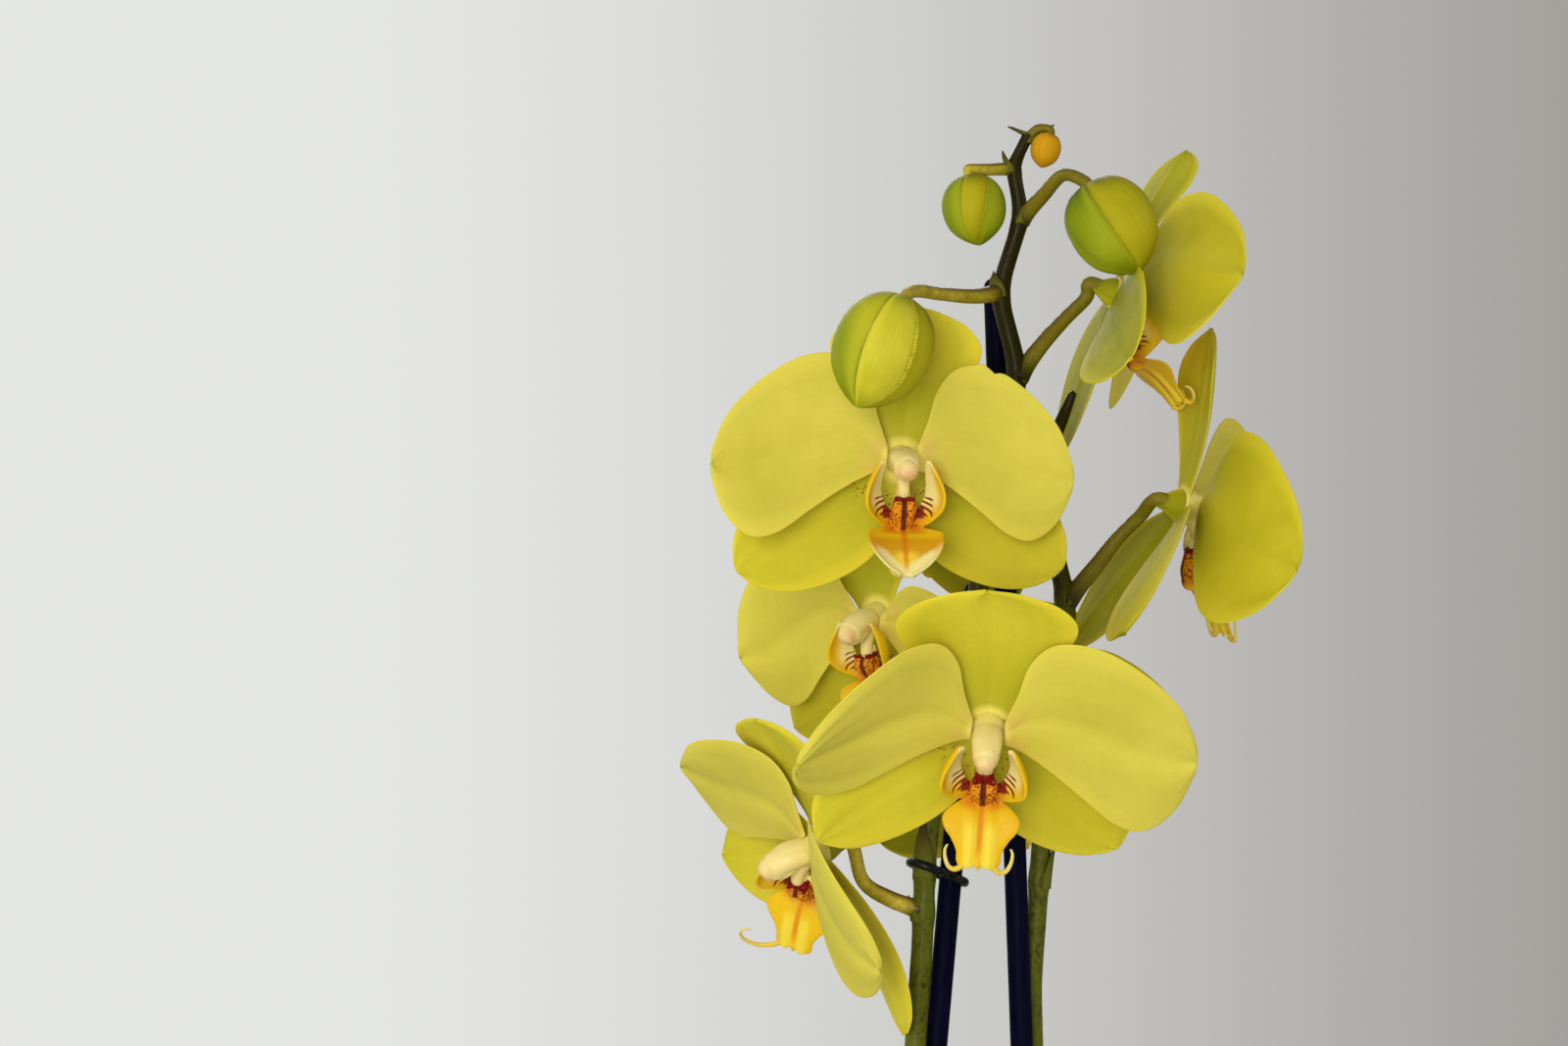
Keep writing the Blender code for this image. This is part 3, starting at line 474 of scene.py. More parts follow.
leaf_skin, tree, shader = finish("leaf skin", Specular_IOR_Level=0.3, Coat_Roughness=0.25)
lines = veined(tree, 9.0, 0.03, 0.16)
tone = paint(tree, (0.045, 0.130, 0.009), (0.085, 0.195, 0.015), mottled(tree, 22))
tone = paint(tree, tone, (0.085, 0.175, 0.030), lines["Vein"], 0.35)
midrib = fade(tree, lines["Edge"], 0.10, 0.0)
tone = paint(tree, tone, (0.110, 0.205, 0.045), midrib, 0.6)
tone = paint(tree, tone, (0.10, 0.070, 0.030), fade(tree, lines["Edge"], 0.965, 1.0))
tone = paint(tree, tone, (0.16, 0.24, 0.07), fade(tree, lines["Along"], 0.12, 0.0))
freckle = celled(tree, 1.1)
feed(tree, shader, Coat_Weight=fade(tree, mottled(tree, 30, 2.0), -0.2, 3.4))
rise_of = math(tree, "ADD", math(tree, "MULTIPLY", lines["Vein"], -0.7), freckle["Height"])
surface(tree, shader, tone, (freckle["Bright"], -1.1, 3.4), (rise_of, 0.35, 0.18))

under_skin, tree, shader = finish("leaf underside", IOR=1.4)
tone = paint(tree, (0.085, 0.165, 0.045), (0.130, 0.150, 0.075), mottled(tree, 14, 3.2))
lines = veined(tree, 9.0, 0.03, 0.2, 2.0)
tone = paint(tree, tone, (0.16, 0.085, 0.085), mottled(tree, 26, 5.0), 0.5)
surface(tree, shader, tone, (lines["Vein"], -1.8, 2.2), (celled(tree, 0.8)["Height"], 0.3, 0.12))


def leaf_blade(turn, length, half, root, rise, bend, rows=64, columns=25):
    heading = radians(turn)
    ahead_flat = np.array([cos(heading), sin(heading), 0.0])
    aside = np.array([-sin(heading), cos(heading), 0.0])
    centre = ahead_flat * 11.5 + np.array([0, 0, root])
    grid, growth, thick = [], [], []
    step = length / (rows - 1)
    for i in range(rows):
        share = i / (rows - 1)
        slope = radians(rise - bend * share**1.2)
        ahead = ahead_flat * cos(slope) + np.array([0, 0, sin(slope)])
        above = np.array([0, 0, cos(slope)]) - ahead_flat * sin(slope)
        width = half * min(1.0, 0.24 + 1.9 * share) * (1 - max(0.0, share - 0.35) ** 2.4 * 2.4)
        rounded = 1 - max(0.0, (share - 0.9) / 0.1) ** 2
        width = max(width * max(rounded, 0.0) ** 0.5, 0.5)
        for j in range(columns):
            across = sin(pi * (j / (columns - 1) - 0.5))
            lift = width * (0.16 + 0.5 * (1 - share) ** 3) * abs(across) ** 1.25
            lift += 0.5 * sin(7.0 * share + root) * across**2 * share
            lift -= 0.45 * np.exp(-(across * width / 1.6) ** 2)
            grid.append(centre + aside * width * across + above * lift)
            growth.append((share, across))
            thick.append(0.35 + 0.95 * (1 - across**2) * (1 - 0.4 * share))
        centre = centre + ahead * step
    shape = (rows, columns)
    grid = np.array(grid).reshape(*shape, 3) * MM
    thick = np.array(thick).reshape(shape) * MM
    return sheet(grid, thick, np.array(growth).reshape(*shape, 2), 1, 0)


for name, blade in LEAVES.items():
    mesh = mesh_of(name + "_blade", [leaf_blade(**blade)])
    show(name + "_blade", mesh, [leaf_skin, under_skin], [name])

crown_skin, tree, shader = finish("leaf bases", IOR=1.42)
tone = paint(tree, (0.085, 0.150, 0.030), (0.180, 0.220, 0.070), mottled(tree, 6))
height = axes_of(tree, place_in(tree))[2]
dry = both(tree, fade(tree, height, 0.128, 0.112), mottled(tree, 3, 4.0))
tone = paint(tree, tone, (0.21, 0.13, 0.06), dry)
surface(tree, shader, tone, (mottled(tree, 4), -1.2, 2.4), (mottled(tree, 1.2), 0.4, 0.3))
low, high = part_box("crown")
core = [(0, 0, low.z / MM, 7.4), (0, 0, 112, 8.2), (0, 0, 128, 7.2), (0, 0, 142, 5.6),
        (0, 0, high.z / MM - 3, 3.4)]
shapes = [smooth_tube(core, 20)]
for blade in LEAVES.values():
    heading = radians(blade["turn"])
    base = np.array([cos(heading), sin(heading), 0.0])
    root = blade["root"]
    clasp = [
        (*(base * 1.0 + (0, 0, root - 15)), 5.2), (*(base * 5.0 + (0, 0, root - 8)), 5.0),
        (*(base * 9.5 + (0, 0, root - 1.5)), 4.0), (*(base * 13.5 + (0, 0, root + 2.0)), 2.2),
    ]
    shapes.append(smooth_tube(clasp, 14))
for stub in ([(-2, -1, 122, 4.2), (-7, -3, 130, 3.8), (-10.5, -4.5, 141, 3.5), (-12, -5.2, 152, 3.1)],
             [(2, 0.5, 124, 4.2), (8, 1, 132, 3.8), (11.5, 1.5, 143, 3.5), (12.4, 3.6, 154, 3.1)]):
    shapes.append(smooth_tube(stub, 14))
show("crown_bases", grown_together("crown_bases", shapes, 0.7, 4), [crown_skin], ["crown"])

# ------------------------------------------------------------------ aerial roots
# Thick roots wander out over the rim. A silvery sponge of dead cells wraps each one and turns
# green where it is damp; the growing tip is bare and bright green.
ROOTS = {
    "root_1": [(-10, 6, 120), (-24, 14, 123), (-40, 24, 122), (-50, 31, 128),
               (-58, 36, 136), (-66, 41, 135), (-71, 44, 126), (-72, 46, 110)],
    "root_2": [(12, -3, 119), (26, -8, 122), (42, -16, 122), (54, -22, 130),
               (63, -26, 137), (72, -29, 134), (77, -31, 124), (78, -32, 110), (75, -32, 98)],
    "root_3": [(-2, -11, 120), (-6, -24, 123), (-15, -36, 117), (-24, -40, 113.5)],
}
root_skin, tree, shader = finish("root sheath")
lines = veined(tree, 5.0, 0.4, 0.3)
tone = paint(tree, (0.42, 0.44, 0.36), (0.24, 0.32, 0.15), mottled(tree, 9, 4.0))
tone = paint(tree, tone, (0.52, 0.53, 0.48), mottled(tree, 1.6, 5.0), 0.5)
tone = paint(tree, tone, (0.17, 0.33, 0.05), fade(tree, lines["Along"], 0.90, 0.955))
surface(tree, shader, tone, (lines["Along"], 1.35, 0.3), (mottled(tree, 0.7), 0.5, 0.25))
for name, route in ROOTS.items():
    steps = 9 * (len(route) - 1)
    way = curve_through(route, np.linspace(0, 1, steps + 1))
    stops = []
    for k, spot in enumerate(way):
        swell = 2.45 + 0.16 * sin(0.9 * k) + 0.10 * sin(2.3 * k + 1)
        if k > steps - 6 and name != "root_3":
            swell *= 1 - 0.07 * (k - steps + 6)
        stops.append((*spot, swell))
    mesh = mesh_of(name + "_sheath", [smooth_tube(stops, 2 * steps, 18)])
    show(name + "_sheath", mesh, [root_skin], [name])

# ------------------------------------------------------------------ flower spikes
# Each spike is one stem that grew in a zigzag, a flower stalk leaving at every turn, with a dry
# triangular bract under each. It is dark and glossy above, green and mottled purple lower down.
SPIKES = {
    "flower_spike_left": dict(
        stem=[
            (-10.5, -4.5, 140, 3.0), (-15, -6.5, 180, 3.0), (-18, -6.5, 240, 2.8),
            (-19, -6, 300, 2.7), (-17.8, -3.5, 350, 2.6), (-16.6, -1.2, 387, 2.6),
            (-14.8, 0, 412, 2.6), (-14, 0, 433, 2.5), (-12, -1, 452, 2.5),
            (-6, -2, 474, 2.5), (-2.5, -2.6, 490, 2.5), (-0.2, -3.2, 506, 2.4),
            (4.6, -4, 531, 2.3), (9.4, -4, 558, 2.3), (4.6, -4, 578.5, 2.1),
            (10.2, -4, 597.6, 1.9), (8.2, -4, 610.5, 1.6), (12, -4, 618.5, 1.2),
        ],
        pedicels={
            "flower_1": [(-15.5, 0, 421.5), (-23.5, -1, 424.5), (-30.0, -3, 429.2)],
            "flower_2": [(-12, -1, 452), (-9, -14, 457), (-4.5, -29, 466), (-1.6, -40, 475)],
            "flower_3": [(-4, -2.4, 484), (-9.5, -0.5, 486), (-13, 4, 490), (-17, 7.5, 494)],
            "flower_4": [(4.6, -4, 531), (-7, -9, 537), (-16, -18, 539), (-20, -26, 537)],
            "flower_5": [(9.4, -4, 557), (15.2, -3, 565), (21.6, -1.5, 572), (27, -1, 577.5)],
            "bud_1": [(4.6, -4, 578.5), (-2, -13, 577), (-11, -28, 576.6), (-17.5, -41, 576.6)],
            "bud_2": [(10.2, -4, 597), (15.2, -9, 602.5), (20, -15, 607.2)],
            "bud_3": [(8.2, -4, 610), (2, -6, 609.5), (-3, -7.5, 609.5)],
            "bud_4": [(12, -4, 617.8), (14.4, -4.2, 620.0)],
        },
        bare_nodes=[(0.10, 200), (0.26, 60), (0.40, 250)],
    ),
    "flower_spike_right": dict(
        stem=[
            (11.5, 1.5, 142, 3.0), (14.5, 10, 180, 3.0), (18, 13, 240, 2.8), (18, 13, 300, 2.7),
            (15, 12, 360, 2.6), (13.8, 11, 400, 2.5), (15.2, 9.8, 420, 2.4), (16.4, 9, 440, 2.4),
            (19.5, 8, 465, 2.4), (22.6, 8, 492, 2.4), (22, 8, 503, 2.3), (16.4, 9, 526.5, 1.9),
            (19.0, 4.5, 541, 1.7), (21.8, 1.2, 548.5, 1.4), (23.6, 0.4, 553, 1.0),
        ],
        pedicels={
            "flower_6": [(19.5, 8, 465), (19.5, 17, 470), (17.5, 26, 470.5)],
            "flower_7": [(22.8, 8, 500), (29.8, 6, 508.6), (35.4, 4, 516), (41, 2, 521.8)],
            "flower_8": [(16.4, 9, 526.5), (8, 17, 534), (-3, 26, 540), (-10.5, 30.5, 538.5)],
        },
        bare_nodes=[(0.08, 20), (0.24, 170), (0.46, 350)],
    ),
}
BUDS = {
    "bud_1": dict(at=(-26.5, -54, 561.5), half=(11.3, 14.3), tip=(-0.45, -0.25, -1.0)),
    "bud_2": dict(at=(31.9, -20.5, 593.9), half=(10.7, 12.6), tip=(0.52, -0.1, -0.85)),
    "bud_3": dict(at=(-1.9, -8, 599.4), half=(7.6, 8.8), tip=(0.15, -0.1, -1.0)),
    "bud_4": dict(at=(16.4, -5, 614.6), half=(3.7, 4.4), tip=(-0.25, -0.1, -1.0)),
}
# Every flower: where its middle is in millimetres, how its face is turned (yaw, nod and roll),
# its size, how far its lip hangs and is turned aside, and how stout its column is.
FLOWERS = {
    "flower_1": dict(at=(-41.7, -6.0, 437.4), turn=(-76, 13, 40), size=1.08, lip_drop=8,
                     lip_turn=42),
    "flower_2": dict(at=(-0.8, -52.0, 470.5), turn=(-6, 28, 5), size=1.12, lip_drop=0,
                     column=0.87),
    "flower_3": dict(at=(-26.8, 0.0, 495.9), turn=(-40, 9, 0), size=0.96, lip_drop=0),
    "flower_4": dict(at=(-21.1, -36.0, 535.3), turn=(5, 0, 1), size=1.04, lip_drop=0,
                     column=0.90),
    "flower_5": dict(at=(35.8, 0.0, 578.1), turn=(103, 19, 10), size=1.04, lip_drop=-32),
    "flower_6": dict(at=(14.6, 40.0, 463.6), turn=(170, 10, 6), size=1.0, lip_drop=0),
    "flower_7": dict(at=(52.8, 0.0, 524.1), turn=(110, 12, -6), size=1.14, lip_drop=-13),
    "flower_8": dict(at=(-14.8, 40.0, 534.5), turn=(190, 12, 0), size=0.93, lip_drop=0),
}
STALK_RADIUS = 1.8
STALK_FOOT = 2.3
STALK_STOP = 4.6  # the stalk stops this far behind the flower's middle

stem_skin, tree, shader = finish("stem skin", Specular_IOR_Level=0.08)
height = axes_of(tree, place_in(tree))[2]
high_up = fade(tree, height, 0.45, 0.56)
tone = paint(tree, (0.105, 0.118, 0.006), (0.020, 0.018, 0.0012), high_up)
purple = both(tree, mottled(tree, 5, 5.0), mottled(tree, 1.3, 5.0))
tone = paint(tree, tone, (0.034, 0.014, 0.005), purple, 0.75)
flecked = both(tree, mottled(tree, 0.8, 6.0), fade(tree, height, 0.60, 0.38))
tone = paint(tree, tone, (0.14, 0.15, 0.012), flecked, 0.3)
low_down = fade(tree, height, 0.34, 0.16)
tone = paint(tree, tone, (0.125, 0.165, 0.035), low_down, 0.7)
surface(tree, shader, tone, (mottled(tree, 3), -0.8, 2.6), (celled(tree, 0.5)["Height"], 0.25, 0.1))

stalk_skin, tree, shader = finish("flower stalk skin", Specular_IOR_Level=0.12)
lines = veined(tree, 3.0, 0.2, 0.35)
tone = paint(tree, (0.48, 0.37, 0.020), (0.74, 0.57, 0.060), mottled(tree, 7, 4.0))
# Stalks right of the plant's middle are painted darker: painted shade on the side turned from the key
# light.
shaded_right_side = fade(tree, axes_of(tree, place_in(tree))[0], -0.004, 0.012)
tone = paint(tree, tone, (0.145, 0.120, 0.003), shaded_right_side, 0.88)
tone = paint(tree, tone, (0.42, 0.34, 0.035), fade(tree, lines["Along"], 0.75, 1.0))
facing_up = axes_of(tree, node(tree, "NewGeometry").outputs["Normal"])[2]
blush = both(tree, fade(tree, facing_up, 0.2, 0.9), fade(tree, lines["Along"], 1.0, 0.3))
tone = paint(tree, tone, (0.100, 0.034, 0.007), blush, 0.8)
tone = paint(tree, tone, (0.09, 0.075, 0.004), mottled(tree, 1.1, 4.0), 0.3)
tone = paint(tree, tone, (0.034, 0.032, 0.002), fade(tree, lines["Along"], 0.16, 0.02))
surface(tree, shader, tone, (mottled(tree, 2), -0.9, 2.4),
        (math(tree, "ADD", lines["Vein"], mottled(tree, 0.6)), 0.3, 0.12))

bract_skin, tree, shader = finish("bract skin", Specular_IOR_Level=0.12)
lines = veined(tree, 5.0, 0.08, 0.2)
tone = paint(tree, (0.115, 0.120, 0.008), (0.060, 0.034, 0.006), fade(tree, lines["Along"], 0.25, 0.95))
tone = paint(tree, tone, (0.22, 0.20, 0.03), lines["Vein"], 0.35)
surface(tree, shader, tone, (mottled(tree, 1.5), -1.4, 2.0), (lines["Vein"], 0.4, 0.15))


def facing(flower):
    """The flower's back direction in the row frame."""
    yaw, nod, _ = (radians(a) for a in flower["turn"])
    return np.array([-sin(yaw) * cos(nod), cos(yaw) * cos(nod), sin(nod)])


def stalk_end(owner):
    """A point that the stalk runs in through, and where it stops, in millimetres."""
    if owner in FLOWERS:
        flower = FLOWERS[owner]
        middle, back = np.array(flower["at"]), facing(flower)
        reach = STALK_STOP * flower["size"]
        return middle + back * (reach + 4), middle + back * (reach - 2.2)
    bud = BUDS[owner]
    tip = np.array(bud["tip"]) / np.linalg.norm(bud["tip"])
    middle, reach = np.array(bud["at"]), bud["half"][1]
    return middle - tip * (reach + 0.8), middle - tip * (reach - 2.5)


def bract(foot, up_way, out_way, radius, length, wrap=1.15):
    """A small pointed scale that wraps the stem at its foot and stands off at its tip."""
    up_way, out_way = Vector(up_way).normalized(), Vector(out_way)
    out_way = (out_way - up_way * out_way.dot(up_way)).normalized()
    aside = up_way.cross(out_way)
    rows, columns = 12, 9
    grid, growth = [], []
    for i in range(rows):
        share = i / (rows - 1)
        reach = wrap * (1 - share**1.6) + 0.02
        for j in range(columns):
            across = 2 * j / (columns - 1) - 1
            turn = reach * across
            far = radius + 0.25 + 0.9 * share**1.5
            spot = out_way * cos(turn) * far + aside * sin(turn) * far
            grid.append(Vector(foot) + spot + up_way * (length * share - 0.6 * abs(across)))
            growth.append((share, across))
    grid = np.array(grid).reshape(rows, columns, 3) * MM
    thick = np.full((rows, columns), 0.28 * MM)
    thick[-1] = thick[:, 0] = thick[:, -1] = 0.10 * MM
    return sheet(grid, thick, np.array(growth).reshape(rows, columns, 2), 2, 2)


def zigzag(stops, share=0.16):
    """Straight runs between the nodes: each node becomes a short bend."""
    bent = [stops[0]]
    for before, at, after in zip(stops, stops[1:], stops[2:]):
        bent += [at + (before - at) * share, at + (after - at) * share]
    return np.array([*bent, stops[-1]])


for name, spike in SPIKES.items():
    stem = zigzag(np.array(spike["stem"], float))
    steps = 8 * (len(stem) - 1)
    fine = curve_through(stem, np.linspace(0, 1, steps + 1))
    heading = np.gradient(fine[:, :3], axis=0)
    shapes, knots = [], []
    for owner, route in spike["pedicels"].items():
        lead, end = stalk_end(owner)
        stops = [*route, tuple(lead), tuple(end)]
        slim = min(1.0, 0.45 + 0.02 * BUDS[owner]["half"][0] ** 1.3) if owner in BUDS else 1.0
        radii = [STALK_FOOT * slim, STALK_FOOT * slim * 0.92]
        radii += [STALK_RADIUS * slim] * (len(stops) - 3) + [STALK_RADIUS * slim * 1.12]
        rows = curve_through([(*p, r) for p, r in zip(stops, radii)], np.linspace(0, 1, 41))
        rows[:, 3] *= 1 + 0.28 * np.exp(-(np.linspace(0, 1, 41) / 0.07) ** 2)
        shapes.append(tube(rows * MM, 16, 1))
        near = int(np.argmin(np.linalg.norm(fine[:, :3] - np.array(route[0]), axis=1)))
        knots.append((near, np.array(route[1]) - np.array(route[0]), 5.5 * slim + 1.0))
    for share, turn in spike["bare_nodes"]:
        way = (cos(radians(turn)), sin(radians(turn)), 0.0)
        knots.append((int(share * steps), np.array(way), 15.0))
    thicker = np.zeros(len(fine))
    for near, way, length in knots:
        gap = np.linalg.norm(fine[:, :3] - fine[near, :3], axis=1)
        thicker += 0.16 * np.exp(-(gap / 3.0) ** 2)
        foot = fine[max(near - 1, 0)]
        shapes.append(bract(foot[:3], heading[near], way, foot[3] * 1.12, length))
    for way, length in ([(-1, -0.2, 0.10), 5.6], [(1, 0.1, 0.16), 7.2]) if "left" in name else ():
        shapes.append(bract(fine[-1, :3] + (0, 0, -0.4), way, (0, 0, 1), 0.7, length, 1.5))
    fine[:, 3] *= 1.06 + np.minimum(thicker, 0.2)
    cap = fine[-1].copy()
    shapes.insert(0, tube(np.concatenate([fine, [cap * (1, 1, 1, 0.2) + (0, 0, 0.8, 0)]]) * MM, 20, 0))
    mesh = mesh_of(name + "_skin", shapes)
    show(name + "_skin", mesh, [stem_skin, stalk_skin, bract_skin], [name])

# ------------------------------------------------------------------ stakes
# Extruded plastic canes, dark blue-black, pushed through the bark beside each spike. They are
# satin, with faint draw lines along them and a rounded top.
STAKES = {
    "stake_left": ((-39.5, 3, 60), (-0.8, 3.2, 505)),
    "stake_right": ((22.5, 4, 60), (4.0, 6.2, 583)),
}
CANE_RADIUS = 2.9
ROUNDED = 2.6  # the length of a cane's rounded top
cane, tree, shader = finish("cane plastic", Specular_IOR_Level=0.02)
tone = paint(tree, (0.0012, 0.0013, 0.0085), (0.0022, 0.0024, 0.0140), mottled(tree, 14))
drawn_out = node(tree, "VectorMath", {"operation": "MULTIPLY"}, (place_in(tree), (1.0, 1.0, 0.03)))
scratch = mottled(tree, 0.35, 6.0, drawn_out.outputs[0])
tone = paint(tree, tone, (0.010, 0.011, 0.024), scratch, 0.2)
surface(tree, shader, tone, (scratch, -1.2, 2.2), (scratch, 0.25, 0.06))
for name, (foot, top) in STAKES.items():
    foot, top = np.array(foot, float), np.array(top, float)
    run = top - foot
    long = np.linalg.norm(run)
    rows = [(*(foot + run * s), r) for s, r in ((0, 0.5), (0.012, 1.5), (0.03, 2.85))]
    rows += [(*(foot + run * s), CANE_RADIUS) for s in np.linspace(0.06, 1 - ROUNDED / long, 24)]
    for share in (0.5, 0.8, 0.95, 1.0):
        back_off = ROUNDED * (1 - share) / long
        radius = CANE_RADIUS * max(0.12, (1 - share**2) ** 0.5)
        rows.append((*(foot + run * (1 - back_off)), radius))
    mesh = mesh_of(name + "_cane", [tube(np.array(rows) * MM, 32)])
    show(name + "_cane", mesh, [cane], [name])

# ------------------------------------------------------------------ clips
# Sprung ring clips of black plastic, snapped round a stem and its cane, with a thumb tab and a
# catch where the ring closes.
CLIPS = {
    "clip_left": ((-14, 0, 432.2), (-7.6, 3.1, 429.4)),
    "clip_right": ((17.8, 8.2, 452), (8.6, 5.7, 452)),
}
WIRE, PLAY = 1.05, 0.3
RING_RADIUS = CANE_RADIUS + PLAY + WIRE
clip_black, tree, shader = finish("clip plastic", Specular_IOR_Level=0.2)
tone = paint(tree, (0.003, 0.003, 0.003), (0.008, 0.0075, 0.006), mottled(tree, 2.5))
surface(tree, shader, tone, (mottled(tree, 0.8, 4.0), -1.0, 2.6), (mottled(tree, 0.5), 0.2, 0.06))
for name, (stem, stake) in CLIPS.items():
    stem, stake = np.array(stem, float), np.array(stake, float)
    middle, apart = (stem + stake) / 2, np.linalg.norm(stake - stem)
    long_way = (stake - stem) / apart
    short_way = np.cross([0, 0, 1], long_way)
    short_way /= np.linalg.norm(short_way)
    up_way = np.cross(long_way, short_way)
    ring, growth = [], []
    around, sides = 64, 12
    for i in range(around):
        turn = tau * i / around
        end = long_way * apart / 2 * (1 if cos(turn) > 0 else -1)
        spoke = (long_way * cos(turn) + short_way * sin(turn)) * RING_RADIUS
        outward = spoke / np.linalg.norm(spoke)
        for j in range(sides):
            roll = tau * j / sides
            wire = outward * cos(roll) * 0.95 + up_way * sin(roll) * 1.15
            ring.append((middle + end + spoke + wire) * MM)
            growth.append((i / around, cos(roll)))
    shapes = [(ring, ring_faces(around, sides, True), growth, 0)]
    mouth = middle - short_way * RING_RADIUS
    for shift in (-1.5, 1.5):
        tab = [(*(mouth + long_way * shift - short_way * s), r) for s, r in
               ((0.0, 0.9), (1.2, 0.9), (2.4, 0.8), (3.4, 0.65))]
        shapes.append(smooth_tube(tab, 10, 10))
    show(name + "_ring", grown_together(name + "_ring", shapes, 0.25, 2), [clip_black],
         [name])

# ------------------------------------------------------------------ buds
# Closed flowers: three fleshy sepals meet edge to edge along raised seams, greener at the foot
# and the tip. The sepal that faces the light has turned yellow first. The youngest is amber.


def bud_skin(name, yellow, green, deep):
    made, tree, shader = finish(name, Specular_IOR_Level=0.05, Subsurface_Weight=0.05,
                                Subsurface_Scale=0.002, Subsurface_Radius=(1.0, 0.8, 0.1))
    lines = veined(tree, 5.0, 0.10, 0.35)
    ends = math(tree, "MAXIMUM", fade(tree, lines["Along"], 0.34, 0.0),
                fade(tree, lines["Along"], 0.70, 1.0))
    tone = paint(tree, yellow, green, ends)
    patchy = mottled(tree, 11, 4.0)
    tone = paint(tree, tone, green, patchy, 0.45)
    # Towards its left side each bud's tone turns to the darker green: painted shade over its own green.
    shaded = axes_of(tree, place_in(tree, "Generated"))[0]
    tone = paint(tree, tone, green, fade(tree, shaded, 0.40, 0.06), 0.75)
    tone = paint(tree, tone, deep, fade(tree, lines["Along"], 0.38, 0.04), 0.85)
    tone = paint(tree, tone, deep, lines["Vein"], 0.06)
    pale_lip = both(tree, fade(tree, lines["Edge"], 0.55, 0.85), fade(tree, lines["Edge"], 0.97, 0.90))
    tone = paint(tree, tone, yellow, pale_lip, 0.6)
    # Dark along each seam: painted shade in the groove where one sepal laps over the next.
    seam = fade(tree, lines["Edge"], 0.94, 1.0)
    tone = paint(tree, tone, deep, seam, 0.6)
    fleck = celled(tree, 0.35)
    rise_of = math(tree, "ADD", math(tree, "MULTIPLY", lines["Vein"], -0.5), fleck["Height"])
    surface(tree, shader, tone, (fleck["Bright"], -1.6, 3.0), (rise_of, 0.25, 0.12))
    return made


def bud_across(turn, share, seams):
    """The sepal that a turn round the bud falls on, and where on it, -1 to 1 from seam to seam."""
    seams = [radians(at_foot + (at_tip - at_foot) * share) for at_foot, at_tip in seams]
    for sepal, (start, end) in enumerate(zip(seams, seams[1:] + [seams[0] + tau])):
        within_it = (turn - start) % tau
        if within_it < end - start:
            return sepal, 2 * within_it / (end - start) - 1
    return 0, 1.0


def bud_shape(at, half, tip, seams):
    """Three bowed sepals, each lapping over the next at a raised seam, drawn to a blunt point."""
    axis = Vector(tip).normalized()
    side = axis.cross(Vector((0.0, 1.0, 0.0))).normalized()
    front = axis.cross(side)
    rows, around = 56, 288
    points, growth, sepals = [], [], []
    for i in range(rows + 1):
        share = i / rows
        polar = pi * (0.012 + 0.976 * share)
        ring = sin(polar) ** 0.84 * (1 + 0.07 * cos(polar))
        drawn = max(0.0, share - 0.66) / 0.34
        ring *= 1 - 0.30 * drawn**1.5 + 0.16 * max(0.0, drawn - 0.85) / 0.15
        fullness = sin(polar) ** 0.5
        for k in range(around):
            turn = tau * k / around
            across = bud_across(turn, share, seams)[1]
            bow = 1 + 0.100 * (1 - across**2) * fullness
            bow += 0.050 * np.exp(-((1 - across) / 0.12) ** 2) * fullness
            bow -= 0.035 * np.exp(-((1 + across) / 0.14) ** 2) * fullness
            spoke = side * cos(turn) + front * sin(turn)
            reach = 1.0 + 0.07 * drawn**3
            spot = Vector(at) - axis * half[1] * cos(polar) * reach
            points.append((spot + spoke * half[0] * 0.97 * ring * bow) * MM)
            growth.append((share, across))
            if i < rows:
                sepals.append(bud_across(tau * (k + 0.5) / around, (i + 0.5) / rows, seams)[0])
    return points, ring_faces(rows + 1, around), growth, sepals + [0, 0]


# The shaded olive sepal is the bud's sepal tone darkened: its own olive tint with painted shade, for
# the faces turned from the light.
lit_bud, shaded_olive_bud, green_bud, fresh_bud, amber_bud = (bud_skin(*look) for look in (
    ("sunned bud sepal", (0.69, 0.61, 0.040), (0.40, 0.390, 0.010), (0.17, 0.180, 0.004)),
    ("shaded olive bud sepal", (0.44, 0.385, 0.010), (0.29, 0.280, 0.004), (0.12, 0.115, 0.002)),
    ("green bud sepal", (0.34, 0.38, 0.012), (0.185, 0.240, 0.003), (0.075, 0.085, 0.002)),
    ("fresh bud sepal", (0.49, 0.47, 0.020), (0.225, 0.270, 0.005), (0.09, 0.105, 0.002)),
    ("amber bud", (0.66, 0.32, 0.006), (0.46, 0.26, 0.005), (0.22, 0.13, 0.004))))
# The turns, in degrees, of each bud's three seams at its foot and at its tip.
SEAMS = {
    "bud_1": ((78, 22), (112, 116), (265, 265)),
    "bud_2": ((102, 94), (205, 135), (330, 330)),
    "bud_3": ((28, 108), (106, 130), (265, 265)),
    "bud_4": ((0, 0), (120, 120), (240, 240)),
}
BUD_SKINS = {
    "bud_1": [lit_bud, fresh_bud, shaded_olive_bud],
    "bud_2": [green_bud, green_bud, shaded_olive_bud],
    "bud_3": [shaded_olive_bud, green_bud, green_bud],
    "bud_4": [amber_bud] * 3,
}
for name, bud in BUDS.items():
    mesh = mesh_of(name + "_sepals", [bud_shape(**bud, seams=SEAMS[name])])
    show(name + "_sepals", mesh, BUD_SKINS[name], [name])

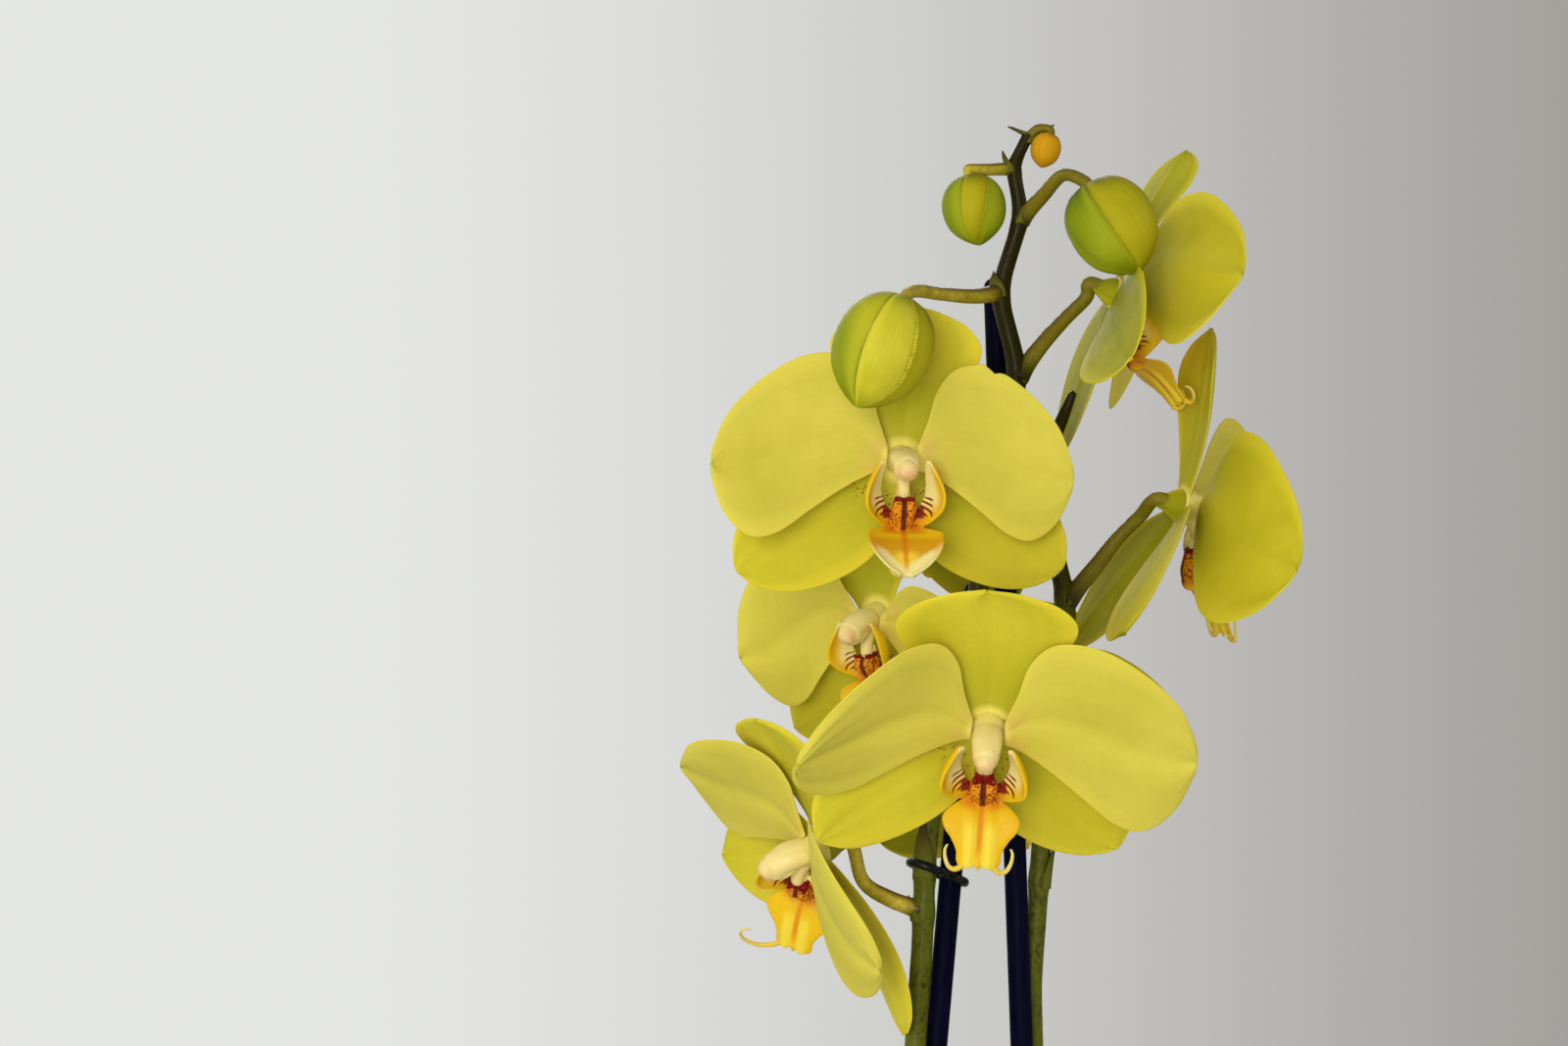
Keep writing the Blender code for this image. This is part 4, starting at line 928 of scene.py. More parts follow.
# ------------------------------------------------------------------ sepals and petals
# Three sepals behind and two broad petals in front, soft yellow-green, waxy, with veins that
# fan from the middle, faint folds, a rolled rim, and a peach blush speckled red at the base.
# Ribs across a tepal, from its base to its tip: how far out and how far across its upper end
# lies, then its lower end.
PETAL_RIBS = [
    (3.4, 2.6, 3.4, -2.2), (6.0, 9.0, 7.0, -3.6), (8.4, 16.5, 12.5, -7.0),
    (13.5, 21.5, 19.0, -12.0), (22.0, 21.2, 26.0, -17.6), (30.5, 16.0, 32.0, -19.0),
    (37.5, 8.5, 37.5, -15.0), (41.0, 0.5, 40.8, -8.0), (41.6, -3.8, 41.6, -3.8),
]
DORSAL_RIBS = [(out, half, out, -half) for out, half in (
    (1.4, 4.4), (6.4, 6.9), (13.4, 11.9), (21.0, 17.3), (27.5, 19.3), (32.5, 15.5), (35.6, 8.0),
    (36.8, 2.0), (37.3, 0.0))]
LATERAL_RIBS = [(out, above, out, -below) for out, above, below in (
    (2.6, 2.8, 2.8), (7.0, 7.0, 8.5), (14.0, 11.5, 14.0), (22.0, 14.0, 15.8), (30.0, 14.2, 15.2),
    (38.0, 11.8, 12.6), (44.0, 7.8, 8.4), (47.3, 3.0, 3.4), (48.3, 0.0, 0.0))]
# The side a tepal grows to; phi, its direction round the flower; lean and curl, which tip it
# forward at its base and along its length; cup, which rolls its edges forward; twist at its tip.
TEPALS = {"dorsal_sepal": dict(ribs=DORSAL_RIBS, side=1, phi=90, lean=0, curl=8, cup=10)}
for side, hand in ((-1, "_left"), (1, "_right")):
    TEPALS["lateral_sepal" + hand] = dict(ribs=LATERAL_RIBS, side=side, phi=-32, lean=-4, curl=0,
                                          cup=8)
    TEPALS["petal" + hand] = dict(ribs=PETAL_RIBS, side=side, phi=0, lean=3, curl=5, cup=0)
SEPALS = ("dorsal_sepal", "lateral_sepal_left", "lateral_sepal_right")
PETALS = ("petal_left", "petal_right")
# How each flower's own tepals differ from those.
SHAPED = {
    "flower_1": dict(
        petal_left=dict(phi=3, lean=23, curl=14, twist=14, size=1.04, lower=1.08),
        petal_right=dict(phi=6, lean=29, curl=-60, twist=7, size=1.03, upper=0.95),
        dorsal_sepal=dict(phi=110, lean=6, curl=24, cup=8, twist=24, size=1.04, upper=0.85,
                          lower=0.85),
        lateral_sepal_right=dict(phi=-46, lean=-15, curl=8, cup=-20),
        lateral_sepal_left=dict(phi=-43, lean=11, curl=14, cup=4, upper=0.95, lower=0.93),
    ),
    "flower_2": dict(
        dorsal_sepal=dict(phi=94, lean=2, curl=16, cup=8),
        petal_left=dict(phi=3, lean=4, curl=44, twist=20, size=1.05, upper=1.03, lower=0.86),
        petal_right=dict(phi=3, lean=7, curl=-8, twist=6, size=1.08, lower=1.17),
        lateral_sepal_left=dict(phi=-38, lean=3, curl=16, cup=2, size=0.94, lower=0.8),
        lateral_sepal_right=dict(phi=-47, lean=-8, curl=0, cup=4, size=0.93),
    ),
    "flower_3": dict(
        petal_left=dict(phi=-9, lean=6, curl=6, twist=14, size=1.05, upper=1.10),
        petal_right=dict(phi=-16, lean=4, curl=6, upper=0.62),
        dorsal_sepal=dict(phi=93, lean=-4, curl=5, cup=5, upper=1.32),
        lateral_sepal_left=dict(phi=-42, lean=-6, curl=4, cup=3, twist=-6),
        lateral_sepal_right=dict(phi=-40, lean=-1, curl=4, cup=3),
    ),
    "flower_4": dict(
        petal_left=dict(phi=3, lean=2, curl=8, twist=-8, size=1.10, lower=0.97),
        petal_right=dict(phi=0, lean=2, curl=4, twist=5, size=0.97, upper=1.06, nick=0.50),
        dorsal_sepal=dict(phi=88, curl=6, cup=8, size=0.99, upper=0.97, lower=0.92),
        lateral_sepal_left=dict(phi=-35, lean=-6, curl=4, cup=6, size=0.97, upper=0.95),
        lateral_sepal_right=dict(phi=-32, lean=-6, curl=4, cup=6, size=0.97, upper=0.95),
    ),
    "flower_5": dict(
        petal_left=dict(phi=7, lean=2, curl=32, twist=10, size=1.07, lower=1.15),
        petal_right=dict(phi=0, lean=25, curl=5),
        dorsal_sepal=dict(phi=88, lean=5, curl=14, cup=30, twist=22, size=1.16, upper=0.46,
                          lower=0.46),
        lateral_sepal_left=dict(phi=-35, lean=-12, curl=14, cup=-12, twist=8),
        lateral_sepal_right=dict(phi=-52, lean=6, curl=0, cup=0, size=0.95),
    ),
    "flower_6": dict(lateral_sepal_left=dict(phi=-50, lean=-4, cup=8, size=0.78)),
    "flower_7": dict(
        petal_left=dict(phi=-5, lean=-30, curl=76, twist=22, size=1.10, upper=0.86),
        petal_right=dict(phi=0, lean=32, curl=40, twist=10),
        dorsal_sepal=dict(phi=94, lean=0, curl=-12, cup=-30, twist=-12, size=1.08, upper=0.60,
                          lower=0.66, turned_over=True),
        lateral_sepal_left=dict(phi=-45, lean=-29, curl=4, cup=-4, twist=5, size=0.97,
                                turned_over=True),
        lateral_sepal_right=dict(phi=-50, lean=-6, curl=0, cup=8, upper=0.66, lower=0.62),
    ),
    "flower_8": dict(lateral_sepal_left=dict(phi=-60, lean=-9, cup=3)),
}
TEPAL_BY_TEPAL = ("flower_2", "flower_4")  # each tepal of these is a piece of its own
SEPAL_SEAT = -1.6  # how far the whorls stand in front of the flower's middle, in millimetres
PETAL_SEAT = 2.0


def own_place_in(tree):
    return node(tree, "Attribute", {"attribute_name": "own_place"}).outputs["Vector"]


def tepal_skin(name, main, deep, base, rim, vein, seed, front, speckled):
    made, tree, shader = finish(name, Specular_IOR_Level=0.08, Subsurface_Weight=0.12,
                                Subsurface_Scale=0.0015, Subsurface_Radius=(1.0, 0.85, 0.12))
    fine = veined(tree, 22.0, 0.05, 0.45, seed)
    bold = veined(tree, 5.0, 0.10, 0.22, seed + 3.0)
    along, edge = fine["Along"], fine["Edge"]
    own = own_place_in(tree)
    from_middle = node(tree, "VectorMath", {"operation": "LENGTH"}, (own,)).outputs["Value"]
    tone = paint(tree, main, deep, mottled(tree, 24, 2.6))
    # Towards the base the tone turns to the base colour. On the sepals' front that is their own greener
    # base, darkened further with painted shade from the petals lying over it.
    tone = paint(tree, tone, base, fade(tree, along, 0.52, 0.10), 0.7)
    tone = paint(tree, tone, vein, mottled(tree, 1.6), 0.07)
    # Lighter towards the rim: partly the tepal's own yellower margin, partly a painted highlight where
    # light comes through the thin edge.
    tone = paint(tree, tone, rim, fade(tree, edge, 0.70, 0.98), 0.75)
    lines = both(tree, bold["Vein"], fade(tree, along, 0.95, 0.2))
    tone = paint(tree, tone, vein, lines, 0.06)
    tone = paint(tree, tone, vein, fine["Vein"], 0.03)
    # Darker down the middle crease: painted shade in the fold.
    crease = both(tree, fade(tree, edge, 0.10, 0.0), fade(tree, along, 0.95, 0.4))
    tone = paint(tree, tone, vein, crease, 0.12)
    if front:
        near = both(tree, fade(tree, from_middle, 0.0125, 0.0075), mottled(tree, 3, 4.0))
        tone = paint(tree, tone, (0.80, 0.45, 0.15), near, 0.1 if speckled else 0.45)
        tone = paint(tree, tone, (0.87, 0.74, 0.14), fade(tree, from_middle, 0.0070, 0.0045))
    if speckled:
        dots = node(tree, "TexVoronoi", Vector=own, Scale=1050.0, Randomness=1.0)
        dot = fade(tree, dots.outputs["Distance"], 0.42, 0.24)
        ring_of = both(tree, fade(tree, from_middle, 0.0165, 0.0125),
                       fade(tree, from_middle, 0.0070, 0.0095))
        low_side = fade(tree, axes_of(tree, own)[2], -0.0020, -0.0040)
        there = both(tree, dot, ring_of, low_side, fade(tree, mottled(tree, 3, 5.0), 0.30, 0.65))
        tone = paint(tree, tone, (0.30, 0.030, 0.018), there, 0.85)
    sparkle = celled(tree, 0.30)
    rise_of = math(tree, "ADD", math(tree, "MULTIPLY", fine["Vein"], -0.6),
                   math(tree, "MULTIPLY", sparkle["Height"], 0.5))
    rise_of = math(tree, "ADD", rise_of, math(tree, "MULTIPLY", bold["Vein"], -0.7))
    surface(tree, shader, tone, (sparkle["Bright"], -2.2, 2.4), (rise_of, 0.16, 0.10))
    return made


petal_skins = [
    tepal_skin("petal skin", (0.74, 0.64, 0.086), (0.62, 0.545, 0.060), (0.66, 0.575, 0.070),
               (0.78, 0.655, 0.075), (0.42, 0.40, 0.020), 0.0, True, False),
    tepal_skin("petal back", (0.60, 0.51, 0.020), (0.45, 0.395, 0.010), (0.45, 0.395, 0.010),
               (0.70, 0.59, 0.030), (0.33, 0.31, 0.006), 2.0, False, False),
]
# The sepal skin's base tone is darker than its main tone: its own green base with painted shade under
# the petals.
sepal_skins = [
    tepal_skin("sepal skin", (0.73, 0.61, 0.036), (0.57, 0.505, 0.020), (0.44, 0.43, 0.014),
               (0.80, 0.64, 0.034), (0.38, 0.36, 0.008), 7.0, True, True),
    tepal_skin("sepal back", (0.47, 0.42, 0.011), (0.28, 0.28, 0.004), (0.28, 0.28, 0.004),
               (0.62, 0.53, 0.016), (0.18, 0.20, 0.003), 9.0, False, False),
]


# The crease's depth, middle and width; the folds' height and count; the height and count of
# the waves along the rim; and how far the rim rolls back.
RIPPLES = {
    "petal": (0.7, -0.05, 0.18, 0.22, 7.5, 0.75, 9.0, 0.8),
    "dorsal": (0.7, 0.0, 0.10, 0.25, 6.0, 0.45, 8.0, 0.8),
    "lateral": (0.6, 0.05, 0.11, 0.35, 5.0, 0.6, 7.0, 1.0),
}


def ripple(name, along, across):
    """Millimetres that a point stands off the plain curve: a soft crease, folds and a wavy rim."""
    phase = sum(ord(letter) for letter in name) % 97 * 0.37
    edge = np.abs(across)
    kind = next(kind for kind in RIPPLES if kind in name)
    depth, middle, width, height, count, wave, waves, rolled = RIPPLES[kind]
    crease = -depth * np.exp(-((across - middle) / width) ** 2)
    folds = height * np.sin(count * across + phase)
    if kind == "petal":
        crease = crease * np.sin(pi * np.clip(along, 0, 1)) ** 0.7
        deep = 0.45 if name == "flower_2_petal_left" else 0.10
        fine_folds = deep * np.sin(19.0 * across + 2 * along + phase) * along**3 * (1 - along**9)
        folds = folds * along**1.3 + fine_folds
    else:
        crease = crease * along**0.5 * (1 - along**8)
        folds = folds * along
    rim = wave * np.sin(waves * along + phase) * edge**4 * along
    return crease + folds + rim - rolled * edge**8 * along


def tepal_shape(full_name, ribs, side, phi, lean, curl, cup, twist=0.0, size=1.0, upper=1.0,
                lower=1.0, seat=0.0, turned_over=False, nick=None, rows=64, columns=33):
    """The flat outline, bent along its length and across, turned to its place in the flower."""
    length = ribs[-1][0] * size
    wide = 20 * size
    start, sweep = radians(lean), radians(curl or 0.01)
    roll = radians(cup or 0.01)
    turn = radians(phi)
    at_base = start + sweep * ribs[0][0] * size / length
    base_rise = (cos(start) - cos(at_base)) * length / sweep
    shares = 0.997 * (1 - (1 - np.linspace(0, 1, rows)) ** 1.45)
    out_a, across_a, out_b, across_b = (curve_through(ribs, shares) * size).T[:, :, None]
    blend = (0.5 + 0.5 * np.sin(pi * (np.linspace(0, 1, columns) - 0.5)))[None, :]
    u = out_a * blend + out_b * (1 - blend)
    w = across_a * blend + across_b * (1 - blend)
    w = np.where(w > 0, w * upper, w * lower)
    if nick:
        beyond = shares[:, None] - nick
        bitten = np.exp(-(beyond / 0.018) ** 2) - 0.6 * np.exp(-((beyond + 0.045) / 0.018) ** 2)
        w = w - 1.1 * bitten * np.clip(2 * blend - 1, 0, 1) ** 8
    slope = start + sweep * u / length
    reach = (np.sin(slope) - sin(start)) * length / sweep
    rise = (cos(start) - np.cos(slope)) * length / sweep - base_rise
    aside = np.sin(roll * w / wide) * wide / roll
    lift = (1 - np.cos(roll * w / wide)) * wide / roll
    along = np.broadcast_to(shares[:, None], u.shape)
    across = np.broadcast_to(2 * blend - 1, u.shape)
    lift = lift + ripple(full_name, along, across) * size
    spin = radians(twist) * u / length
    aside, lift = aside * np.cos(spin) - lift * np.sin(spin), aside * np.sin(spin) + lift * np.cos(spin)
    reach = reach - np.sin(slope) * lift
    rise = rise + np.cos(slope) * lift + seat
    x = reach * cos(turn) - aside * sin(turn)
    z = reach * sin(turn) + aside * cos(turn)
    grid = np.stack([side * x, -rise, z], axis=2) * MM
    body = 0.16 + 0.32 * np.clip(1 - np.abs(across) ** 3, 0, 1) * np.clip(1.15 - along**2, 0.25, 1)
    rounded = np.minimum(1.0, (1 - along) * 14 + 0.25)
    half_thickness = body * rounded * MM
    half_thickness[:, 0] = half_thickness[:, -1] = 0.05 * MM
    half_thickness[-1] = 0.05 * MM
    i, j = rows // 2 - 3, columns // 2
    faces_front = np.cross(grid[i, j + 1] - grid[i, j], grid[i + 1, j] - grid[i, j])[1] < 0
    sides = (0, 1) if faces_front != turned_over else (1, 0)
    return sheet(grid, half_thickness, np.stack([along, across], axis=2), *sides)


def flower_place(flower):
    yaw, nod, roll = (radians(a) for a in flower["turn"])
    turned_to = Euler((nod, roll, yaw), "YXZ").to_matrix().to_4x4()
    return Matrix.Translation(Vector(flower["at"]) * MM) @ turned_to


def seat_shape(size):
    """The small green-yellow swelling behind the flower that all its parts grow from."""
    stops = np.array([(0, 8.5, 0, 1.5), (0, 6.0, 0, 1.9), (0, 3.4, 0, 3.3), (0, 1.0, 0, 3.9),
                      (0, -1.2, 0, 3.2)])
    return smooth_tube(stops * size, 14, 18, 1)


for name, flower in FLOWERS.items():
    place = flower_place(flower)
    seat_size = flower["size"] * flower.get("column", 1.0)
    shapes = {}
    for part in SEPALS + PETALS:
        setting = {**TEPALS[part], **SHAPED[name].get(part, {})}
        setting["size"] = setting.get("size", 1.0) * flower["size"]
        seat = SEPAL_SEAT if part in SEPALS else PETAL_SEAT
        shapes[part] = tepal_shape(name + "_" + part, seat=seat, **setting)
    if name in TEPAL_BY_TEPAL:
        for part, shape in shapes.items():
            full = name + "_" + part
            skins, slot = (sepal_skins, "sepal") if part in SEPALS else (petal_skins, "petal")
            more = [seat_shape(seat_size)] if part == "dorsal_sepal" else []
            show(full + "_blade", mesh_of(full, [shape, *more]), skins, [full], place)
        continue
    for kind, skins, whorl in (
        ("sepal", sepal_skins, [*(shapes[part] for part in SEPALS), seat_shape(seat_size)]),
        ("petal", petal_skins, [shapes[part] for part in PETALS]),
    ):
        full = f"{name}_{kind}_blades"
        show(full, mesh_of(full, whorl), skins, [f"{name}_{kind}s"], place)

# ------------------------------------------------------------------ columns
# The column is the flower's fused stamen and style: a waxy cream peg with a rounded anther cap,
# a hollow under its tip, and small wings at its sides. Salmon tints the cap and its foot.
column_skin, tree, shader = finish("column skin", Specular_IOR_Level=0.35, Subsurface_Weight=0.2,
                                   Subsurface_Scale=0.0015, Subsurface_Radius=(1.0, 0.6, 0.3))
away = axes_of(tree, own_place_in(tree))
tone = paint(tree, (0.82, 0.70, 0.16), (0.88, 0.73, 0.27), fade(tree, away[1], 0.000, -0.006))
front_of = fade(tree, away[1], -0.0105, -0.0125)
salmon = both(tree, front_of, fade(tree, away[2], 0.001, -0.003), mottled(tree, 2.5))
tone = paint(tree, tone, (0.86, 0.43, 0.22), salmon, 0.75)
tone = paint(tree, tone, (0.88, 0.52, 0.26), mottled(tree, 3, 4.0), 0.10)
surface(tree, shader, tone, (mottled(tree, 1.2), -1.2, 2.4),
        (celled(tree, 0.3)["Height"], 0.25, 0.08))
peg = [(0, 2.2, 0.0, 4.1), (0, 0.0, 0.0, 4.0), (0, -2.4, 0.0, 3.3), (0, -4.8, 0.0, 3.2),
       (0, -8.0, -0.8, 3.35), (0, -9.6, -1.5, 3.4)]
cap = [(0, -8.6, -1.3, 3.0), (0, -10.2, -1.8, 3.35), (0, -11.2, -2.2, 3.15), (0, -11.7, -2.4, 2.7)]
column_shapes = [smooth_tube(peg, 18, 24), smooth_tube(cap, 18, 24)]
for turn in (-62, -22, 22, 62):
    lump = Vector((2.1 * sin(radians(turn)), -10.4, -2.3 - 2.2 * cos(radians(turn))))
    scallop = [(*(lump + Vector((0, 1.2, 0.5))), 1.0), (*lump, 1.25),
               (*(lump - Vector((0, 0.7, 0.2))), 0.9)]
    column_shapes.append(smooth_tube(scallop, 6, 12))
wing = [(1.8, -5.6, -1.8, 0.9), (2.2, -8.0, -3.0, 1.0), (1.9, -9.6, -4.2, 0.8)]
shoulder = [(1.2, -3.0, 0.6, 2.4), (1.3, -7.0, 0.1, 2.5), (1.2, -9.6, -0.9, 2.3)]
for stops, sides in ((wing, 12), (shoulder, 16)):
    for side in (-1, 1):
        column_shapes.append(smooth_tube(np.array(stops) * (side, 1, 1, 1), 14, sides))
foot = [(0, -1.6, -1.6, 2.2), (0, -3.4, -4.0, 1.9), (0, -4.4, -6.4, 1.7), (0, -4.8, -8.6, 1.7)]
column_shapes.append(smooth_tube(foot, 14, 16))
column_mesh = grown_together("column", column_shapes, 0.28, 4)
for name, flower in FLOWERS.items():
    stoutness = flower["size"] * flower.get("column", 1.0)
    place = flower_place(flower) @ Matrix.Scale(stoutness, 4)
    show(name + "_column_peg", column_mesh.copy(), [column_skin], [name + "_column"], place)

# ------------------------------------------------------------------ lips
# The lip is the third petal: two side lobes stand up like pincers round the column, a speckled
# callus sits between them, and the arrow-shaped middle lobe ends in two curled tendrils.
# A side lobe's inner and outer rim, as (across, forward, up); a middle lobe's spine, as
# (forward, up, half its width). All in millimetres.
SIDE_LOBE = [
    ((1.6, 2.8, -12.4), (2.6, 2.6, -16.4)),
    ((3.5, 3.4, -11.2), (5.9, 5.5, -14.8)),
    ((4.9, 3.4, -8.8), (8.7, 9.2, -11.6)),
    ((5.3, 3.8, -6.0), (8.9, 10.2, -7.8)),
    ((5.0, 4.9, -3.6), (7.4, 9.6, -4.0)),
    ((4.6, 6.9, -1.4), (5.9, 9.0, -1.2)),
    ((4.6, 8.4, -0.2), (5.0, 8.9, -0.1)),
]
MIDDLE_LOBE = [
    (1.6, -14.8, 3.0), (2.8, -15.9, 3.9), (4.4, -17.2, 6.9), (6.0, -18.6, 9.0), (7.6, -20.6, 8.8),
    (8.9, -22.8, 6.8), (10.0, -25.0, 5.4), (10.9, -27.0, 5.2), (11.4, -28.6, 4.7),
]
# Flower 4's is cupped: broader, folded up and pale round its rim.
CUPPED_LOBE = [
    (1.6, -14.8, 3.0), (2.8, -15.9, 3.9), (4.6, -17.0, 7.2), (6.6, -18.0, 9.5), (8.8, -19.6, 9.6),
    (10.6, -21.8, 8.9), (12.0, -24.0, 7.2), (13.0, -26.0, 4.6), (13.4, -27.4, 1.6),
]
CLAW = [(0, -3.4, -6.6, 1.5), (0, -3.4, -10.0, 2.2), (0, -3.4, -13.4, 2.9), (0, -3.0, -16.0, 2.2)]

# A soft-edged stripe: 1 where a value lies within half a width of its centre.
band, of, out = group("Soft Band", [
    ("Value", "Float", 0.0), ("Centre", "Float", 0.0), ("Half Width", "Float", 1.0),
    ("Soft", "Float", 0.5),
], [("Mask", "Float")])
gap = math(band, "ABSOLUTE", math(band, "SUBTRACT", of["Value"], of["Centre"]))
past = math(band, "DIVIDE", math(band, "SUBTRACT", gap, of["Half Width"]), of["Soft"])
step = node(band, "MapRange", {"interpolation_type": "SMOOTHSTEP"}, Value=past, To_Min=1.0,
            To_Max=0.0)
band.links.new(step.outputs[0], out["Mask"])


def within(tree, value, centre, half_width, soft):
    return node(tree, "Group", {"node_tree": band}, Value=value, Centre=centre,
                Half_Width=half_width, Soft=soft).outputs[0]


def lip_skin(name, cupped):
    made, tree, shader = finish(name, Specular_IOR_Level=0.15, Subsurface_Weight=0.08,
                                Subsurface_Scale=0.0010, Subsurface_Radius=(1.0, 0.5, 0.1))
    in_mm = node(tree, "VectorMath", {"operation": "SCALE"}, Vector=own_place_in(tree),
                 Scale=1000.0).outputs[0]
    x, _, z = axes_of(tree, in_mm)
    wide = math(tree, "ABSOLUTE", x)
    gold, orange, cream = (0.84, 0.54, 0.007), (0.78, 0.33, 0.004), (0.86, 0.74, 0.26)
    crimson, dark_red = (0.21, 0.005, 0.006), (0.11, 0.003, 0.003)
    tone = paint(tree, gold, orange, mottled(tree, 6), 0.22)
    on_lobes = fade(tree, z, -14.8, -13.2)
    lean_in = math(tree, "MULTIPLY", math(tree, "MAXIMUM", math(tree, "ADD", z, 8.0), 0.0), 0.28)
    outward = math(tree, "ADD", wide, lean_in)
    inner = both(tree, on_lobes, fade(tree, outward, 8.6, 7.2))
    tone = paint(tree, tone, cream, both(tree, inner, fade(tree, z, -12.8, -9.0)))
    if cupped:
        rim_at = math(tree, "ADD", z, math(tree, "MULTIPLY", wide, -0.62))
        rim_at = math(tree, "ADD", rim_at, math(tree, "MULTIPLY", mottled(tree, 4, 1.5), 2.0))
        # Deeper orange over the cup's inner face: partly its own orange, partly painted shade inside
        # the cup.
        tone = paint(tree, tone, (0.66, 0.32, 0.006), fade(tree, z, -17.5, -19.0))
        keel = both(tree, fade(tree, wide, 4.5, 1.0), fade(tree, z, -20.5, -22.5))
        tone = paint(tree, tone, (0.90, 0.62, 0.045), keel)
        tone = paint(tree, tone, (0.88, 0.76, 0.28), fade(tree, rim_at, -22.9, -24.3))
    else:
        ridges = both(tree, within(tree, wide, 2.1, 0.8, 1.1), fade(tree, z, -18.0, -21.0))
        tone = paint(tree, tone, (0.92, 0.72, 0.055), ridges, 0.85)
    centre_line = both(tree, within(tree, wide, 0.0, 0.25, 0.7), fade(tree, z, -15.5, -17.0),
                       fade(tree, z, -27.0, -23.0))
    tone = paint(tree, tone, (0.70, 0.16, 0.002), centre_line, 0.65)
    rim_tint = both(tree, fade(tree, wide, 5.4, 9.0), fade(tree, z, -16.5, -18.0))
    tone = paint(tree, tone, orange, rim_tint, 0.6 if cupped else 0.25)
    neck = both(tree, within(tree, z, -15.2, 1.0, 1.6), fade(tree, wide, 6.5, 3.0))
    tone = paint(tree, tone, (0.66, 0.14, 0.006), neck, 0.7)
    moved = node(tree, "VectorMath", {"operation": "ADD"}, (in_mm, (0.0, 2.0, 15.0))).outputs[0]
    swirl = node(tree, "TexWave", {"wave_type": "RINGS", "rings_direction": "X"}, Vector=moved,
                 Scale=0.30, Distortion=1.6, Detail=1.0)
    stripe = fade(tree, swirl.outputs[1], 0.50, 0.66)
    stripes = both(tree, stripe, within(tree, z, -10.8, 1.9, 0.8), within(tree, wide, 4.9, 1.5, 0.8))
    tone = paint(tree, tone, crimson, stripes, 0.95)
    patches = both(tree, within(tree, z, -12.2, 1.1, 0.6), within(tree, wide, 3.7, 0.9, 0.6))
    tone = paint(tree, tone, crimson, patches, 0.95)
    on_callus = both(tree, within(tree, wide, 1.0, 1.7, 0.5), within(tree, z, -12.0, 2.4, 0.8))
    tone = paint(tree, tone, (0.78, 0.27, 0.006), on_callus)
    spots = node(tree, "TexVoronoi", Vector=in_mm, Scale=1.5, Randomness=1.0)
    spot = fade(tree, spots.outputs["Distance"], 0.48, 0.32)
    speckled = both(tree, spot, within(tree, wide, 1.2, 1.9, 0.6), within(tree, z, -12.0, 3.6, 1.0))
    tone = paint(tree, tone, dark_red, speckled, 0.9)
    seam = both(tree, within(tree, wide, 0.0, 0.45, 0.35), within(tree, z, -12.8, 3.4, 0.8))
    tone = paint(tree, tone, dark_red, seam, 0.9)
    bar = both(tree, within(tree, z, -9.1, 0.45, 0.35), fade(tree, wide, 3.4, 2.6))
    tone = paint(tree, tone, crimson, bar)
    fleck = celled(tree, 0.3)
    surface(tree, shader, tone, (fleck["Bright"], -1.3, 2.6), (fleck["Height"], 0.3, 0.08))
    return made


def lip_points(rows):
    """(across, forward, up) in millimetres, as points in the flower's own frame."""
    rows = np.asarray(rows, float)
    return np.stack([rows[..., 0], -rows[..., 1], rows[..., 2]], axis=-1) * MM


def side_lobe(side):
    rows, columns = 34, 13
    share = np.linspace(0, 1, rows)[:, None]
    inner, outer = (curve_through(edge, share[:, 0]) for edge in zip(*SIDE_LOBE))
    blend = np.linspace(0, 1, columns)[None, :, None]
    grid = inner[:, None] + (outer - inner)[:, None] * blend
    grid[..., 0] += np.sin(pi * blend[..., 0]) * (0.4 + 0.9 * np.sin(pi * share))
    grid[..., 0] *= side
    thick = (0.30 + 0.22 * np.sin(pi * blend[..., 0]) ** 0.5) * np.ones_like(share)
    growth = np.zeros((*grid.shape[:2], 2))
    return sheet(lip_points(grid), thick * MM, growth)


def middle_lobe(cupped):
    """The arrow-shaped lobe: keeled along its middle, its corners raised, its rim turned under."""
    rows, columns = 48, 33
    way = curve_through(CUPPED_LOBE if cupped else MIDDLE_LOBE, np.linspace(0, 1, rows))
    across = np.linspace(-1, 1, columns)[None, :]
    forward, up, half = (way[:, k][:, None] for k in range(3))
    share = np.linspace(0, 1, rows)[:, None]
    if cupped:
        raised = 0.30 * half * across**2 + 1.6 * share * np.abs(across) ** 3
        raised = raised + 0.5 * share * np.sin(5.0 * across + 1.0) * np.abs(across) ** 2
        notch = np.zeros_like(across)
    else:
        raised = 0.20 * half * across**2 * (1 - 0.6 * share) - 0.8 * np.abs(across) ** 6
        ridge = np.exp(-((np.abs(across) * half - 2.1) / 1.0) ** 2)
        raised = raised + 0.75 * ridge * np.minimum(share * 3, 1)
        notch = 1.5 * np.exp(-(across * half / 1.1) ** 2) + 1.0 * np.abs(across) ** 3
    side = half * across * (1 - 0.08 * across**2)
    end_rise = notch * np.clip((share - 0.8) / 0.2, 0, 1) ** 2
    grid = np.stack([side, forward + raised * 0.8 - end_rise * 0.2,
                     up + raised * 0.35 + end_rise], axis=2)
    thick = np.full((rows, columns), 0.45 * MM) * (1 - 0.45 * np.abs(across) ** 6)
    return sheet(lip_points(grid), thick, np.zeros((rows, columns, 2)))


